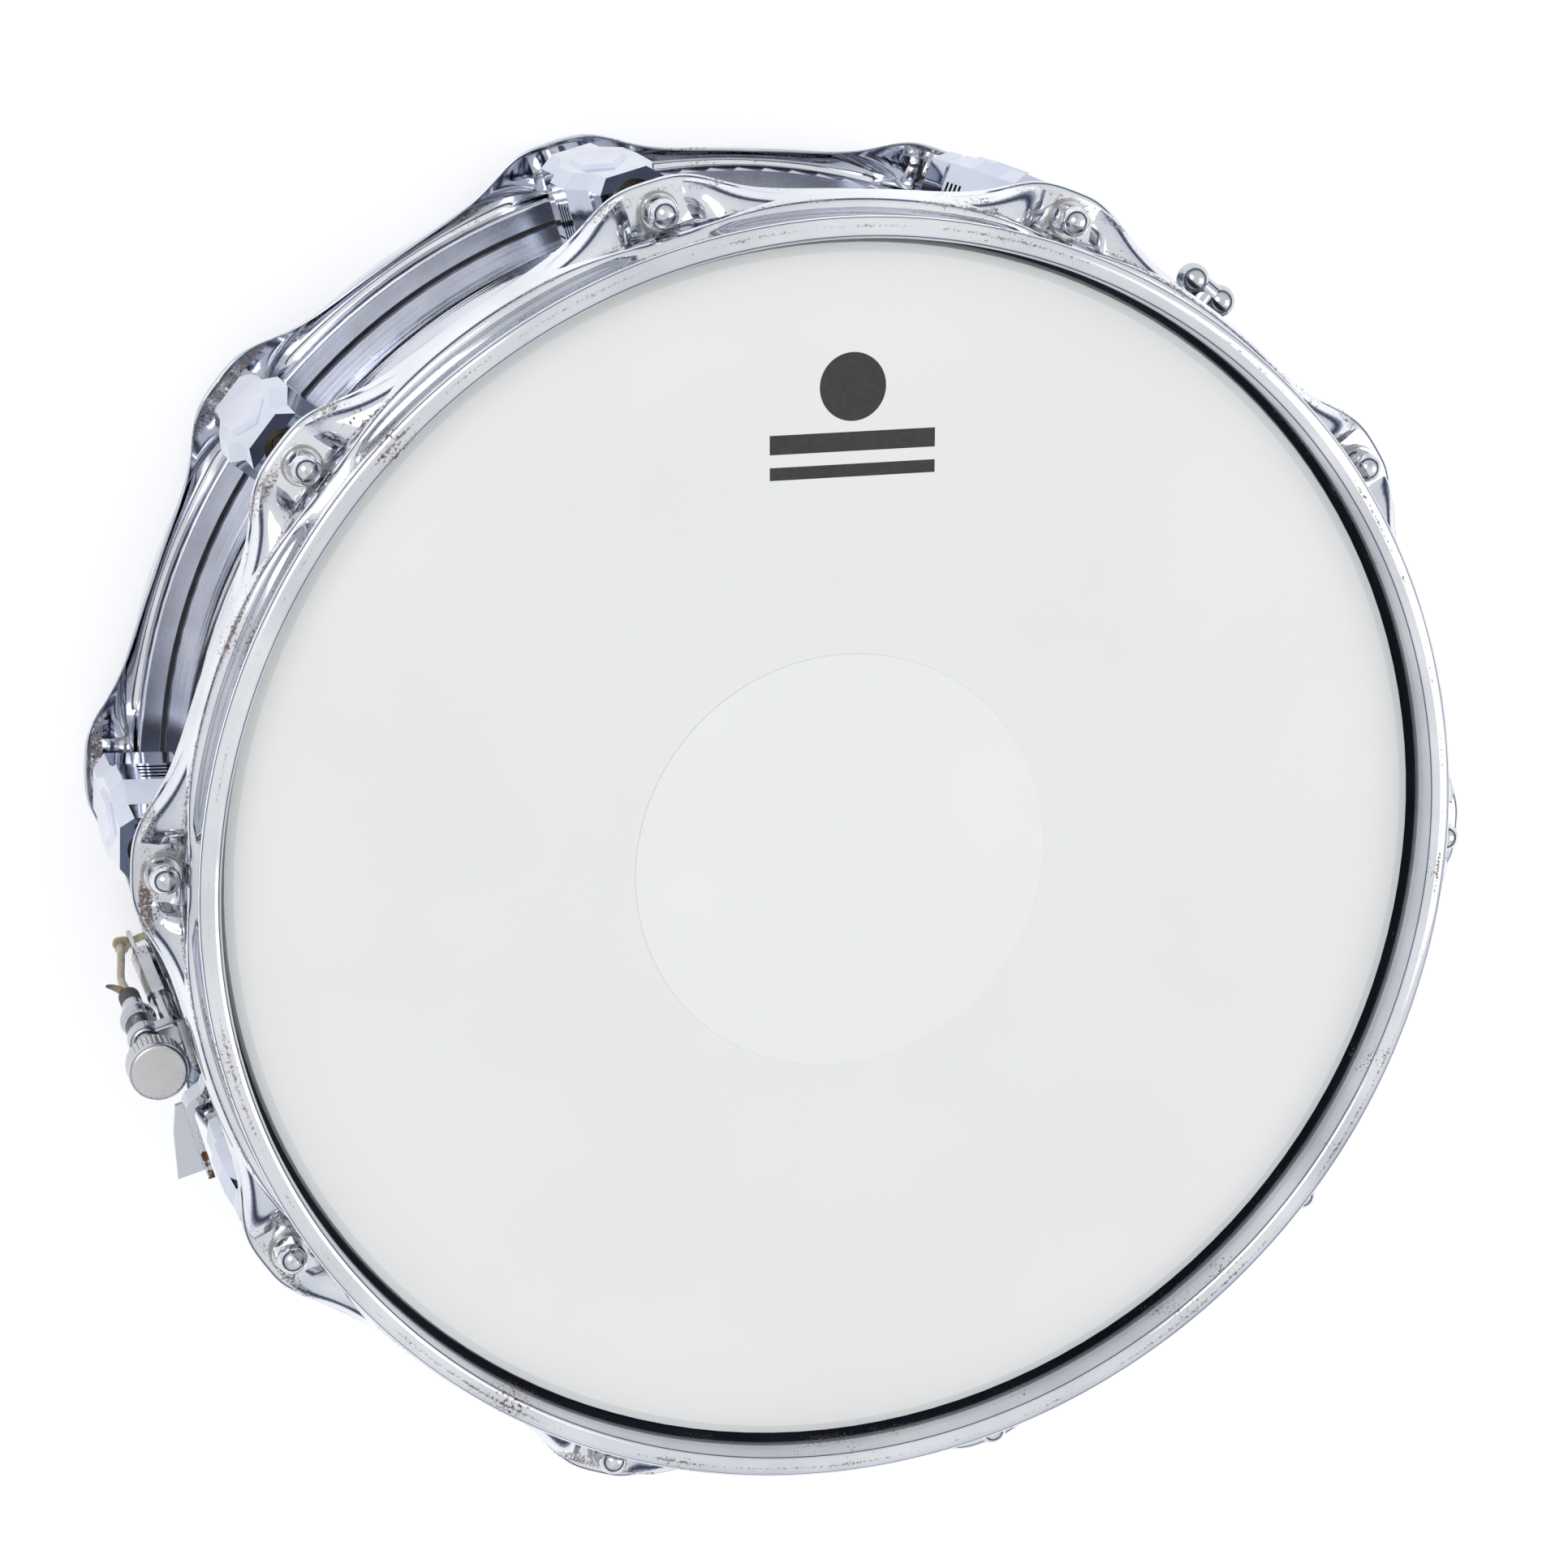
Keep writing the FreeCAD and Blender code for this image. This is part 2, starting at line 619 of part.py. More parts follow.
def make_strainer_base():
    """An open channel on the shell: back, two cheeks, a top flange and a foot flange."""
    wall = size.channel_wall
    half = size.channel_half
    turn = round_axis(STRAINER_ANGLE)
    back = block("BaseBack", turn * spot(-BACK_X, 0, BASE_FOOT),
                 Length="channel_wall", Width="2 * channel_half", Height=BASE_HEIGHT)
    cheeks = []
    for side in (-1, 1):
        cheek_place = turn * spot(-BACK_X, side * (half - wall / 2), BASE_FOOT)
        cheeks.append(block(f"BaseCheek{side + 2}", cheek_place,
                            Length=10.5, Width="channel_wall", Height=CHEEK_HEIGHT))
    roof = block("BaseRoof", turn * spot(-BACK_X, 0, BASE_FOOT + BASE_HEIGHT - wall),
                 Length=12, Width=14, Height="channel_wall")
    floor = block("BaseFloor", turn * spot(-BACK_X, 0, BASE_FOOT),
                  Length=8, Width="2 * channel_half", Height="channel_wall")
    feet = []
    for number, height in enumerate(STRAINER_SCREW_HEIGHTS):
        foot_place = turn * spot(size.shell_radius + 0.1, 0, height - 6)
        feet.append(block(f"BaseFoot{number}", foot_place,
                          Length=-BACK_X - size.shell_radius, Width=16, Height=12))
    whole = joined("BaseWhole", [back, roof, floor] + cheeks + feet)
    tools = []
    for number, height in enumerate(STRAINER_SCREW_HEIGHTS):
        tap_place = turn * spot(size.shell_radius - 1, 0, height, OUTWARD)
        tools.append(rod(f"BaseTap{number}", tap_place, Radius="screw_radius", Height=8))
    pin_place = spot(BACK_X + 1, LEVER_Y, LEVER_Z, INWARD)
    tools.append(rod("BasePinHole", pin_place, Radius=PIN_RADIUS, Height=5))
    as_node(cut("StrainerBase", whole, joined("BaseCuts", tools)), "strainer_base")
    group("strainer_screws", make_screw("StrainerScrew", 3.5),
          [turn * spot(up=height) for height in STRAINER_SCREW_HEIGHTS])


def make_lever():
    """The throw lever: a hub on its pin, an S-shaped strip and a flared thumb plate."""
    hub_start = BACK_X - size.channel_wall - 0.4
    shank = rod("PinShank", spot(BACK_X, LEVER_Y, LEVER_Z, INWARD), Radius=PIN_RADIUS, Height=8.2)
    head = rod("PinHead", spot(BACK_X - 7, LEVER_Y, LEVER_Z, INWARD), Radius=3.8, Height=1.4)
    as_node(joined("LeverPin", [shank, head]), "lever_pivot_pin")
    hub = rod("LeverHub", spot(hub_start, LEVER_Y, LEVER_Z, INWARD), Radius=7.6, Height=3.6)
    near = -hub_start
    strip = pad_on("LeverStrip", "XY_Plane", [
        (f"{-near - 0.4}", "-6"),
        (f"{-near - 0.4}", "-13"),
        ("-186.4", "-20"),
        ("-188.6", "-23"),
        ("-193.6", "-24.6"),
        ("-194.4", "-27"),
        ("-194.4", "-47"),
        ("-196.4", "-47"),
        ("-196.4", "-24.4"),
        ("-194.8", "-22.4"),
        ("-190.2", "-20.8"),
        ("-188.6", "-18.8"),
        (f"{-near - 2.8}", "-12"),
        (f"{-near - 2.8}", "-6"),
    ], STRIP_HEIGHT, lift=LEVER_Z - STRIP_HEIGHT / 2)
    soften(strip, 1.2, lambda edge: is_bend(edge, -21.5, -20.5) or is_bend(edge, -24.5, -22.2))
    plate = pad_on("LeverPlate", "XY_Plane", [
        ("-195", "-25"),
        ("-198.6", "-25"),
        ("-201.6", "-33"),
        ("-204.6", "-47"),
        ("-195", "-47"),
    ], "2", lift=LEVER_Z - STRIP_HEIGHT / 2)
    whole = joined("LeverWhole", [hub, strip, plate])
    hole = rod("LeverBore", spot(BACK_X, LEVER_Y, LEVER_Z, INWARD),
               Radius=f"{PIN_RADIUS} + fit_gap", Height=12)
    as_node(cut("ThrowLever", whole, hole), "throw_lever")


def is_bend(edge, low, high):
    """True for an upright edge whose distance along Y lies between the two limits."""
    ends = edge.Vertexes
    if len(ends) != 2 or abs(ends[0].Y - ends[1].Y) > 0.01 or abs(ends[0].X - ends[1].X) > 0.01:
        return False
    return low < ends[0].Y < high


def make_carriage():
    """The block that slides in the channel, its hexagonal bar and the arm that takes the knob."""
    turn = round_axis(STRAINER_ANGLE)
    slider_start = -BACK_X + size.channel_wall + 0.4
    slider = block("SliderBlock", turn * spot(slider_start, 0, 46), Length=7, Width=19.4, Height=28)
    groove = block("SliderGroove", turn * spot(slider_start - 1, 0, 45), Length=3.4, Width=9, Height=30)
    as_node(cut("Slider", slider, groove), "strainer_slide")
    bar = doc.addObject("Part::Prism", "HexBar")
    bar.Polygon = 6
    bar.Circumradius = 3.7
    bar.Height = BAR_TOP - BAR_FOOT
    bar.Placement = spot(BAR_X, 0, BAR_FOOT)
    stem = rod("BarStem", spot(BAR_X, 0, BAR_TOP - 1), Radius=2.5, Height=ARM_FOOT - BAR_TOP + 1)
    as_node(joined("SlideBar", [bar, stem]), "slide_bar")
    link = block("ArmLink", turn * spot(-BAR_X, 0, ARM_FOOT),
                 Length=BAR_X - SCREW_X, Width=8, Height=ARM_HEIGHT)
    near = rod("ArmNear", spot(BAR_X, 0, ARM_FOOT), Radius=4, Height=ARM_HEIGHT)
    far = rod("ArmFar", spot(SCREW_X, 0, ARM_FOOT), Radius=5.4, Height=ARM_HEIGHT)
    arm = rounded("ArmRounded", joined("ArmWhole", [link, near, far]), 1.5,
                  lambda edge: is_at(edge, "Z", edge.Vertexes[0].Z))
    bore = rod("ArmBore", spot(SCREW_X, 0, ARM_FOOT - 1),
               Radius="stem_radius + fit_gap", Height=ARM_HEIGHT + 2)
    as_node(cut("CarriageArm", arm, bore), "carriage_arm")
    make_eyelet()


def make_eyelet():
    """A wire hairpin under the bar that turns the cord from level to upright."""
    leg_y = 2.4
    foot = 10.0
    top = BAR_FOOT
    wire = 0.8
    left = Part.LineSegment(Vector(EYELET_X, -leg_y, top), Vector(EYELET_X, -leg_y, foot))
    bend = Part.Arc(Vector(EYELET_X, -leg_y, foot), Vector(EYELET_X, 0, foot - leg_y),
                    Vector(EYELET_X, leg_y, foot))
    right = Part.LineSegment(Vector(EYELET_X, leg_y, foot), Vector(EYELET_X, leg_y, top))
    path = Part.Wire([left.toShape(), bend.toShape(), right.toShape()])
    section = Part.Wire([Part.Circle(Vector(EYELET_X, -leg_y, top), Vector(0, 0, 1), wire).toShape()])
    frozen("cord_eyelet", path.makePipeShell([section], True, True))


def make_knob():
    """The tension knob: a domed, knurled head on a threaded stem."""
    head = rod("KnobHead", spot(SCREW_X, 0, KNOB_FOOT), Radius="knob_radius", Height="knob_height")
    knurl = 36
    grooves = []
    for step in range(knurl):
        turn = math.radians(360 * step / knurl)
        x = SCREW_X + (size.knob_radius + 0.25) * math.cos(turn)
        y = (size.knob_radius + 0.25) * math.sin(turn)
        grooves.append(rod(f"KnurlGroove{step}", spot(x, y, KNOB_FOOT - 1),
                           Radius=0.5, Height="knob_height - 1"))
    shaped = rounded("KnobRounded", head, 1.4, lambda edge: is_ring(edge, size.knob_radius))
    cut_head = cut("KnobKnurled", shaped, joined("KnurlGrooves", grooves))
    neck = rod("KnobNeck", spot(SCREW_X, 0, ARM_FOOT + ARM_HEIGHT + 1),
               Radius=4, Height=KNOB_FOOT - ARM_FOOT - ARM_HEIGHT)
    stem = rod("KnobStem", spot(SCREW_X, 0, STEM_FOOT),
               Radius="stem_radius", Height=KNOB_FOOT - STEM_FOOT + 1)
    as_node(joined("TensionKnob", [cut_head, neck, stem]), "tension_knob")


def make_cord_clamp():
    """The round nut on the knob's stem, with the rubber sleeve that grips the cord."""
    nut = ball("ClampBall", spot(SCREW_X, 0, CLAMP_MIDDLE), Radius=5.4)
    throat = rod("ClampThroat", spot(SCREW_X, 0, 70), Radius=3.4, Height=10)
    collar = rod("ClampCollar", spot(SCREW_X, 0, 79), Radius=4.6, Height=9)
    whole = joined("ClampWhole", [nut, throat, collar])
    thread = rod("ClampThread", spot(SCREW_X, 0, 73), Radius="stem_radius + fit_gap", Height=20)
    eye = rod("ClampEye", spot(SCREW_X, 0, 60), Radius="cord_radius + 0.3", Height=12)
    as_node(cut("CordClamp", whole, joined("ClampCuts", [thread, eye])), "cord_clamp")
    tube = rod("SleeveTube", spot(SCREW_X, 0, 60), Radius=3.2, Height=10)
    tube_bore = rod("SleeveBore", spot(SCREW_X, 0, 59), Radius="cord_radius + 0.3", Height=12)
    as_node(cut("CordSleeve", tube, tube_bore), "cord_sleeve")


# ---------------------------------------------------------------- cords

def cord_path(points):
    """Straight runs joined by arcs that are as large as the runs allow."""
    edges = []
    radii = []
    last = points[0]
    for before, corner, after in zip(points, points[1:], points[2:]):
        into = (corner - before).normalize()
        out = (after - corner).normalize()
        turn = into.getAngle(out)
        run = min((corner - before).Length, (after - corner).Length)
        reach = 0.45 * run
        radius = reach / math.tan(turn / 2)
        radii.append(radius)
        start = corner - into * reach
        end = corner + out * reach
        middle = (into * -1 + out).normalize()
        sagitta = radius / math.cos(turn / 2) - radius
        edges.append(Part.LineSegment(last, start).toShape())
        edges.append(Part.Arc(start, corner + middle * sagitta, end).toShape())
        last = end
    edges.append(Part.LineSegment(last, points[-1]).toShape())
    return Part.Wire(edges), radii


def make_cord(label, points, radius):
    path, radii = cord_path(points)
    direction = points[1] - points[0]
    section = Part.Wire([Part.Circle(points[0], direction, radius).toShape()])
    tube = path.makePipeShell([section], True, True)
    wanted = math.pi * radius ** 2 * path.Length
    print(f"{label}: length {path.Length:.1f}, radii", [round(value, 1) for value in radii],
          f"volume {tube.Volume:.1f} of {wanted:.1f}")
    frozen(label, tube)


STRAINER_ROUTE = [
    (-164.0, 0.0, 9.0), (-173.0, 0.4, 8.8), (-183.0, 0.0, 9.2), (-192.0, -0.3, 9.6),
    (-197.6, 0.3, 14.0), (-197.4, 2.4, 21.0), (-198.6, 1.6, 30.0), (-201.0, -1.0, 40.0),
    (-200.5, -0.4, 50.0), (-200.4, 0.0, 58.0), (-200.38, 0.01, 68.0),
]
TAIL_ROUTE = [(-201.6, 1.9, 59.2), (-203.0, 2.6, 55.4), (-205.4, 2.4, 51.0)]
BUTT_ROUTE = [
    (164.0, 0.0, 9.0), (173.0, -0.4, 8.8), (183.0, 0.0, 9.2), (191.6, 0.3, 10.4),
    (193.4, 0.4, 19.0), (190.0, 0.2, 28.0), (187.1, 0.0, 36.0), (187.05, 0.01, 46.0),
]


def make_cords():
    routes = {"snare_cord": STRAINER_ROUTE, "cord_tail": TAIL_ROUTE, "butt_cord": BUTT_ROUTE}
    for label, route in routes.items():
        make_cord(label, [Vector(*point) for point in route], size.cord_radius)


# ---------------------------------------------------------------- butt plate

CLAMP_BAR_X = 188.4
CLAMP_BAR_WALL = 3.2
CLAMP_SCREW_Y = 9.0
CLAMP_SCREW_Z = 49.0


def make_butt():
    """The fixed end of the snares: a base, a clamp bar and two screws."""
    back = size.lug_back
    base = block("ButtBack", spot(back, 0, 28), Length=2, Width=34, Height=44)
    seat = block("ButtSeat", spot(back + 1, 0, 42), Length=5.6, Width=30, Height=14)
    feet = []
    for number, height in enumerate(BUTT_SCREW_HEIGHTS):
        foot_place = spot(size.shell_radius + 0.1, 0, height - 5)
        feet.append(block(f"ButtFoot{number}", foot_place,
                          Length=back - size.shell_radius, Width=16, Height=10))
    tools = []
    for number, height in enumerate(BUTT_SCREW_HEIGHTS):
        tap_place = spot(size.shell_radius - 1, 0, height, OUTWARD)
        tools.append(rod(f"ButtTap{number}", tap_place, Radius="screw_radius", Height=8))
    for side in (-1, 1):
        hole_place = spot(back + 1.8, side * CLAMP_SCREW_Y, CLAMP_SCREW_Z, OUTWARD)
        tools.append(rod(f"ButtHole{side + 2}", hole_place, Radius=2, Height=8))
    whole = joined("ButtWhole", [base, seat] + feet)
    as_node(cut("ButtBase", whole, joined("ButtCuts", tools)), "butt_base")
    plain_bar = block("ButtBar", spot(CLAMP_BAR_X, 0, 43), Length=CLAMP_BAR_WALL, Width=28, Height=12)
    bar_face = CLAMP_BAR_X + CLAMP_BAR_WALL
    bar = rounded("ButtBarRounded", plain_bar, 1.2, lambda edge: is_at(edge, "X", bar_face))
    holes = []
    screws = []
    for side in (-1, 1):
        y = side * CLAMP_SCREW_Y
        hole_place = spot(back, y, CLAMP_SCREW_Z, OUTWARD)
        holes.append(rod(f"ButtBarHole{side + 2}", hole_place, Radius=2.1, Height=20))
        shank_place = spot(back + 2.2, y, CLAMP_SCREW_Z, OUTWARD)
        shank = rod(f"ButtShank{side + 2}", shank_place, Radius=2, Height=12)
        head_place = spot(bar_face, y, CLAMP_SCREW_Z, OUTWARD)
        head = rod(f"ButtScrewHead{side + 2}", head_place, Radius=4.2, Height=2.8)
        slot = block(f"ButtSlot{side + 2}", spot(bar_face + 1.6, y, CLAMP_SCREW_Z - 0.5),
                     Length=3, Width=10, Height=1)
        screws.append(cut(f"ButtScrew{side + 2}", joined(f"ButtScrewWhole{side + 2}", [shank, head]), slot))
    as_node(cut("ButtClamp", bar, joined("ButtBarHoles", holes)), "butt_clamp")
    doc.recompute()
    frozen("butt_clamp_screws", Part.makeCompound([screw.Shape for screw in screws]))
    group("butt_screws", make_screw("ButtMountScrew", 3.5),
          [spot(up=height) for height in BUTT_SCREW_HEIGHTS])


# ---------------------------------------------------------------- snares

STRANDS = 20


def make_snares():
    """Coiled strands side by side under the snare head, soldered to a plate at each end."""
    level = size.rim_rise - size.film_height - 0.45 - size.strand_radius
    strands = []
    for step in range(STRANDS):
        y = (step - (STRANDS - 1) / 2) * size.strand_pitch
        strands.append(Part.makeCylinder(size.strand_radius, size.strand_length,
                                         Vector(-size.strand_length / 2, y, level), Vector(1, 0, 0)))
    frozen("snare_strands", Part.makeCompound(strands))
    for label, angle in (("snare_plate_strainer", STRAINER_ANGLE), ("snare_plate_butt", BUTT_ANGLE)):
        place = round_axis(angle) * spot(149, 0, level - size.strand_radius - 0.8)
        plate = block(label.title().replace("_", ""), place, Length=14.8, Width="2 * plate_half", Height=0.8)
        as_node(plate, label)


# ---------------------------------------------------------------- damper

ARM_REACH = 50.0
ARM_PIN_RADIUS = 1.8


def make_damper():
    """The inner damper: a handle outside, a ferrule in the shell, and an arm with a felt inside."""
    turn = round_axis(DAMPER_ANGLE)
    start = size.shell_radius - 5

    def along_stem(across):
        return turn * spot(across, 0, DAMPER_HEIGHT, OUTWARD)

    bush = rod("FerruleBarrel", along_stem(start), Radius=DAMPER_BUSH - 0.1, Height=8)
    flange = rod("FerruleFlange", along_stem(size.shell_radius + 0.2), Radius=8, Height=2.2)
    bore = rod("FerruleBore", along_stem(start - 5), Radius="stem_radius + fit_gap", Height=30)
    as_node(cut("DamperFerrule", joined("FerruleWhole", [bush, flange]), bore), "damper_ferrule")

    reach = 197.0
    stem = rod("HandleStem", along_stem(start - 4), Radius="stem_radius", Height=reach - start + 4)
    hub = rod("HandleHub", along_stem(reach - 7), Radius=3.6, Height=6)
    cross = Rotation(Vector(1, 0, 0), 90)
    bar = rod("HandleBar", turn * spot(reach, 5.2, DAMPER_HEIGHT, cross), Radius=3.5, Height=10.4)
    balls = []
    for side in (-1, 1):
        ball_place = turn * spot(reach, side * 5.4, DAMPER_HEIGHT)
        balls.append(ball(f"HandleBall{side + 2}", ball_place, Radius="ball_radius"))
    as_node(joined("DamperHandle", [stem, hub, bar] + balls), "damper_handle")

    plate = block("BracketPlate", turn * spot(start - 2.4, 0, DAMPER_HEIGHT - 14),
                  Length=2.2, Width=26, Height=28)
    plate_hole = rod("BracketHole", along_stem(start - 5), Radius="stem_radius + 0.4", Height=8)
    ears = [block(f"BracketEar{side + 2}", turn * spot(start - 14, side * 12, DAMPER_HEIGHT - 14),
                  Length=12, Width=2, Height=10) for side in (-1, 1)]
    arm_level = DAMPER_HEIGHT - 9
    pin = rod("BracketPin", turn * spot(start - 10, 12.5, arm_level, cross), Radius=ARM_PIN_RADIUS, Height=25)
    bracket = joined("BracketWhole", [cut("BracketDrilled", plate, plate_hole), pin] + ears)
    as_node(bracket, "damper_bracket")

    eye = rod("ArmEye", turn * spot(start - 10, 9, arm_level, cross), Radius=4, Height=18)
    blade = block("ArmBlade", turn * spot(start - ARM_REACH, 0, arm_level + 2), Length=41, Width=14, Height=2)
    disc = rod("ArmDisc", turn * spot(start - ARM_REACH, 0, arm_level + 2), Radius=15, Height=2)
    post = rod("ArmPost", turn * spot(start - ARM_REACH, 0, arm_level + 3), Radius=9, Height=31.2)
    arm_bore = rod("ArmPinBore", turn * spot(start - 10, 15, arm_level  , cross),
                   Radius=f"{ARM_PIN_RADIUS} + fit_gap", Height=30)
    arm = cut("DamperArm", joined("ArmAll", [eye, blade, disc, post]), arm_bore)
    as_node(arm, "damper_arm")
    felt_foot = arm_level + 34.2
    felt = rod("FeltDisc", turn * spot(start - ARM_REACH, 0, felt_foot),
               Radius="pad_radius", Height="pad_height")
    as_node(rounded("Felt", felt, 2.0, lambda edge: isinstance(edge.Curve, Part.Circle)), "damper_felt")


# ---------------------------------------------------------------- the drum

make_shell()
make_heads()
make_hoops()
for lug_number, lug_angle in enumerate(LUG_ANGLES, start=1):
    make_lug(lug_number, lug_angle)
make_lug_fittings()
make_rods()
make_vent()
make_strainer_base()
make_lever()
make_carriage()
make_knob()
make_cord_clamp()
make_cords()
make_butt()
make_snares()
make_damper()
doc.recompute()

for item in doc.Objects:
    if "Invalid" in item.State or "Error" in item.State:
        raise RuntimeError(f"{item.Name} did not build: {item.State}")
os.makedirs("parts", exist_ok=True)
for item in nodes:
    shape = item.Shape
    if shape.isNull() or not shape.isValid() or not shape.Solids:
        raise RuntimeError(f"{item.Label} has no valid shape")
    print(f"{item.Label}: {len(shape.Solids)} solids, {shape.Volume:.0f} mm3")
    shape.exportStep(os.path.join("parts", item.Label + ".step"))
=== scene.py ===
import json
import math

import bpy
from mathutils import Matrix, Quaternion, Vector


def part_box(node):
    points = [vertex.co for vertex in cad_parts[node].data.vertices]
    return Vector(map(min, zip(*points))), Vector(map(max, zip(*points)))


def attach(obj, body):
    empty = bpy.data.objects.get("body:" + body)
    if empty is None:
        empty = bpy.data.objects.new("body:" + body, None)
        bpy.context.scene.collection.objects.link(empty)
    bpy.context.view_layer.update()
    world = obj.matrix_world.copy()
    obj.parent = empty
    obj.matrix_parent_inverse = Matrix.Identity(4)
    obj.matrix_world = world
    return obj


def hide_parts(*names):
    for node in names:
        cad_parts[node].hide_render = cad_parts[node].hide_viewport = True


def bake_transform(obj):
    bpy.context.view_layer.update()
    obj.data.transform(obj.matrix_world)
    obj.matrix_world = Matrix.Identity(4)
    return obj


MM = 0.001

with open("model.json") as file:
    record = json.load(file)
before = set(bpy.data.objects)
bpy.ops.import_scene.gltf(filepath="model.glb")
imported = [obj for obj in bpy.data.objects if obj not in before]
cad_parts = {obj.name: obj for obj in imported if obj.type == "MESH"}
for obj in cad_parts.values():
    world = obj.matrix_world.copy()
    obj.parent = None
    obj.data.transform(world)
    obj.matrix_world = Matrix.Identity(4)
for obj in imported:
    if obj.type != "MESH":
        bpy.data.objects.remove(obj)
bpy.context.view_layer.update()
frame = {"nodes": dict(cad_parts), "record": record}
parts = frame["nodes"]
scene = bpy.context.scene


# ------------------------------------------------------------------ camera

CAMERA_AIM = Vector((-0.0105, 0.0282, 0.1524))
CAMERA_AZIMUTH = 120.78
CAMERA_ELEVATION = 67.45
CAMERA_ROLL = 131.9
CAMERA_DISTANCE = 1.0524
CAMERA_LENS = 85.5
SENSOR_WIDTH = 36.0


def place_camera():
    """A short telephoto view from above the strainer's side, turned so that the strainer is at the left."""
    azimuth = math.radians(CAMERA_AZIMUTH)
    elevation = math.radians(CAMERA_ELEVATION)
    away = Vector((
        math.cos(elevation) * math.cos(azimuth),
        math.cos(elevation) * math.sin(azimuth),
        math.sin(elevation),
    ))
    data = bpy.data.cameras.new("camera")
    data.lens = CAMERA_LENS
    data.sensor_width = SENSOR_WIDTH
    camera = bpy.data.objects.new("camera", data)
    camera.rotation_mode = "QUATERNION"
    level = (-away).to_track_quat("-Z", "Y")
    camera.rotation_quaternion = level @ Quaternion((0, 0, 1), math.radians(CAMERA_ROLL))
    camera.location = CAMERA_AIM + away * CAMERA_DISTANCE
    scene.collection.objects.link(camera)
    scene.camera = camera


place_camera()


# ------------------------------------------------------------------ colour and node helpers

def linear(code):
    """An sRGB hex colour as linear red, green, blue and alpha."""
    channels = [int(code[start:start + 2], 16) / 255 for start in (1, 3, 5)]
    curve = [c / 12.92 if c <= 0.04045 else ((c + 0.055) / 1.055) ** 2.4 for c in channels]
    return (*curve, 1.0)


def add(tree, kind, inputs=None, stops=(), **settings):
    """Adds a node, sets it up, fills its inputs with values or links, and sets a colour ramp's stops."""
    made = tree.nodes.new(kind)
    for name, value in settings.items():
        setattr(made, name, value)
    for name, value in (inputs or {}).items():
        if isinstance(value, bpy.types.NodeSocket):
            tree.links.new(value, made.inputs[name])
        else:
            made.inputs[name].default_value = value
    if stops:
        band = made.color_ramp
        while len(band.elements) < len(stops):
            band.elements.new(0.5)
        for element, (position, colour) in zip(band.elements, stops):
            element.position = position
            element.color = colour
    return made


def blank_material(name):
    """A new material whose node tree is empty."""
    material = bpy.data.materials.new(name)
    material.use_nodes = True
    tree = material.node_tree
    tree.nodes.clear()
    return material, tree


def darker(code, share):
    """An sRGB hex colour as linear values, each reduced to a share of itself."""
    return (*(channel * share for channel in linear(code)[:3]), 1.0)


def grey(level):
    """A grey as linear red, green, blue and alpha."""
    return (level, level, level, 1.0)


def per_metre(size_mm):
    """Texture scale whose cells are that many millimetres."""
    return 1000.0 / size_mm


# ------------------------------------------------------------------ metals

# Noise coordinates on a spun sheet: drawn out round the drum, squeezed along its axis.
SPUN_STRETCH = (0.05, 0.05, 4.0)
FOLD_EDGE = 1.2 * MM


def ring_mask(tree, place, inner_mm, outer_mm):
    """One inside a band round the drum's axis, fading over its two edges."""
    level = add(tree, "ShaderNodeVectorMath", {0: place, 1: (1, 1, 0)}, operation="MULTIPLY")
    reach = add(tree, "ShaderNodeVectorMath", {0: level.outputs[0]}, operation="LENGTH").outputs["Value"]
    rise = add(tree, "ShaderNodeMapRange", {
        "Value": reach, "From Min": inner_mm * MM - FOLD_EDGE, "From Max": inner_mm * MM + FOLD_EDGE})
    fall = add(tree, "ShaderNodeMapRange", {
        "Value": reach, "From Min": outer_mm * MM + FOLD_EDGE, "From Max": outer_mm * MM - FOLD_EDGE})
    inside = add(tree, "ShaderNodeMath", {0: rise.outputs[0], 1: fall.outputs[0]}, operation="MULTIPLY")
    return inside.outputs[0]


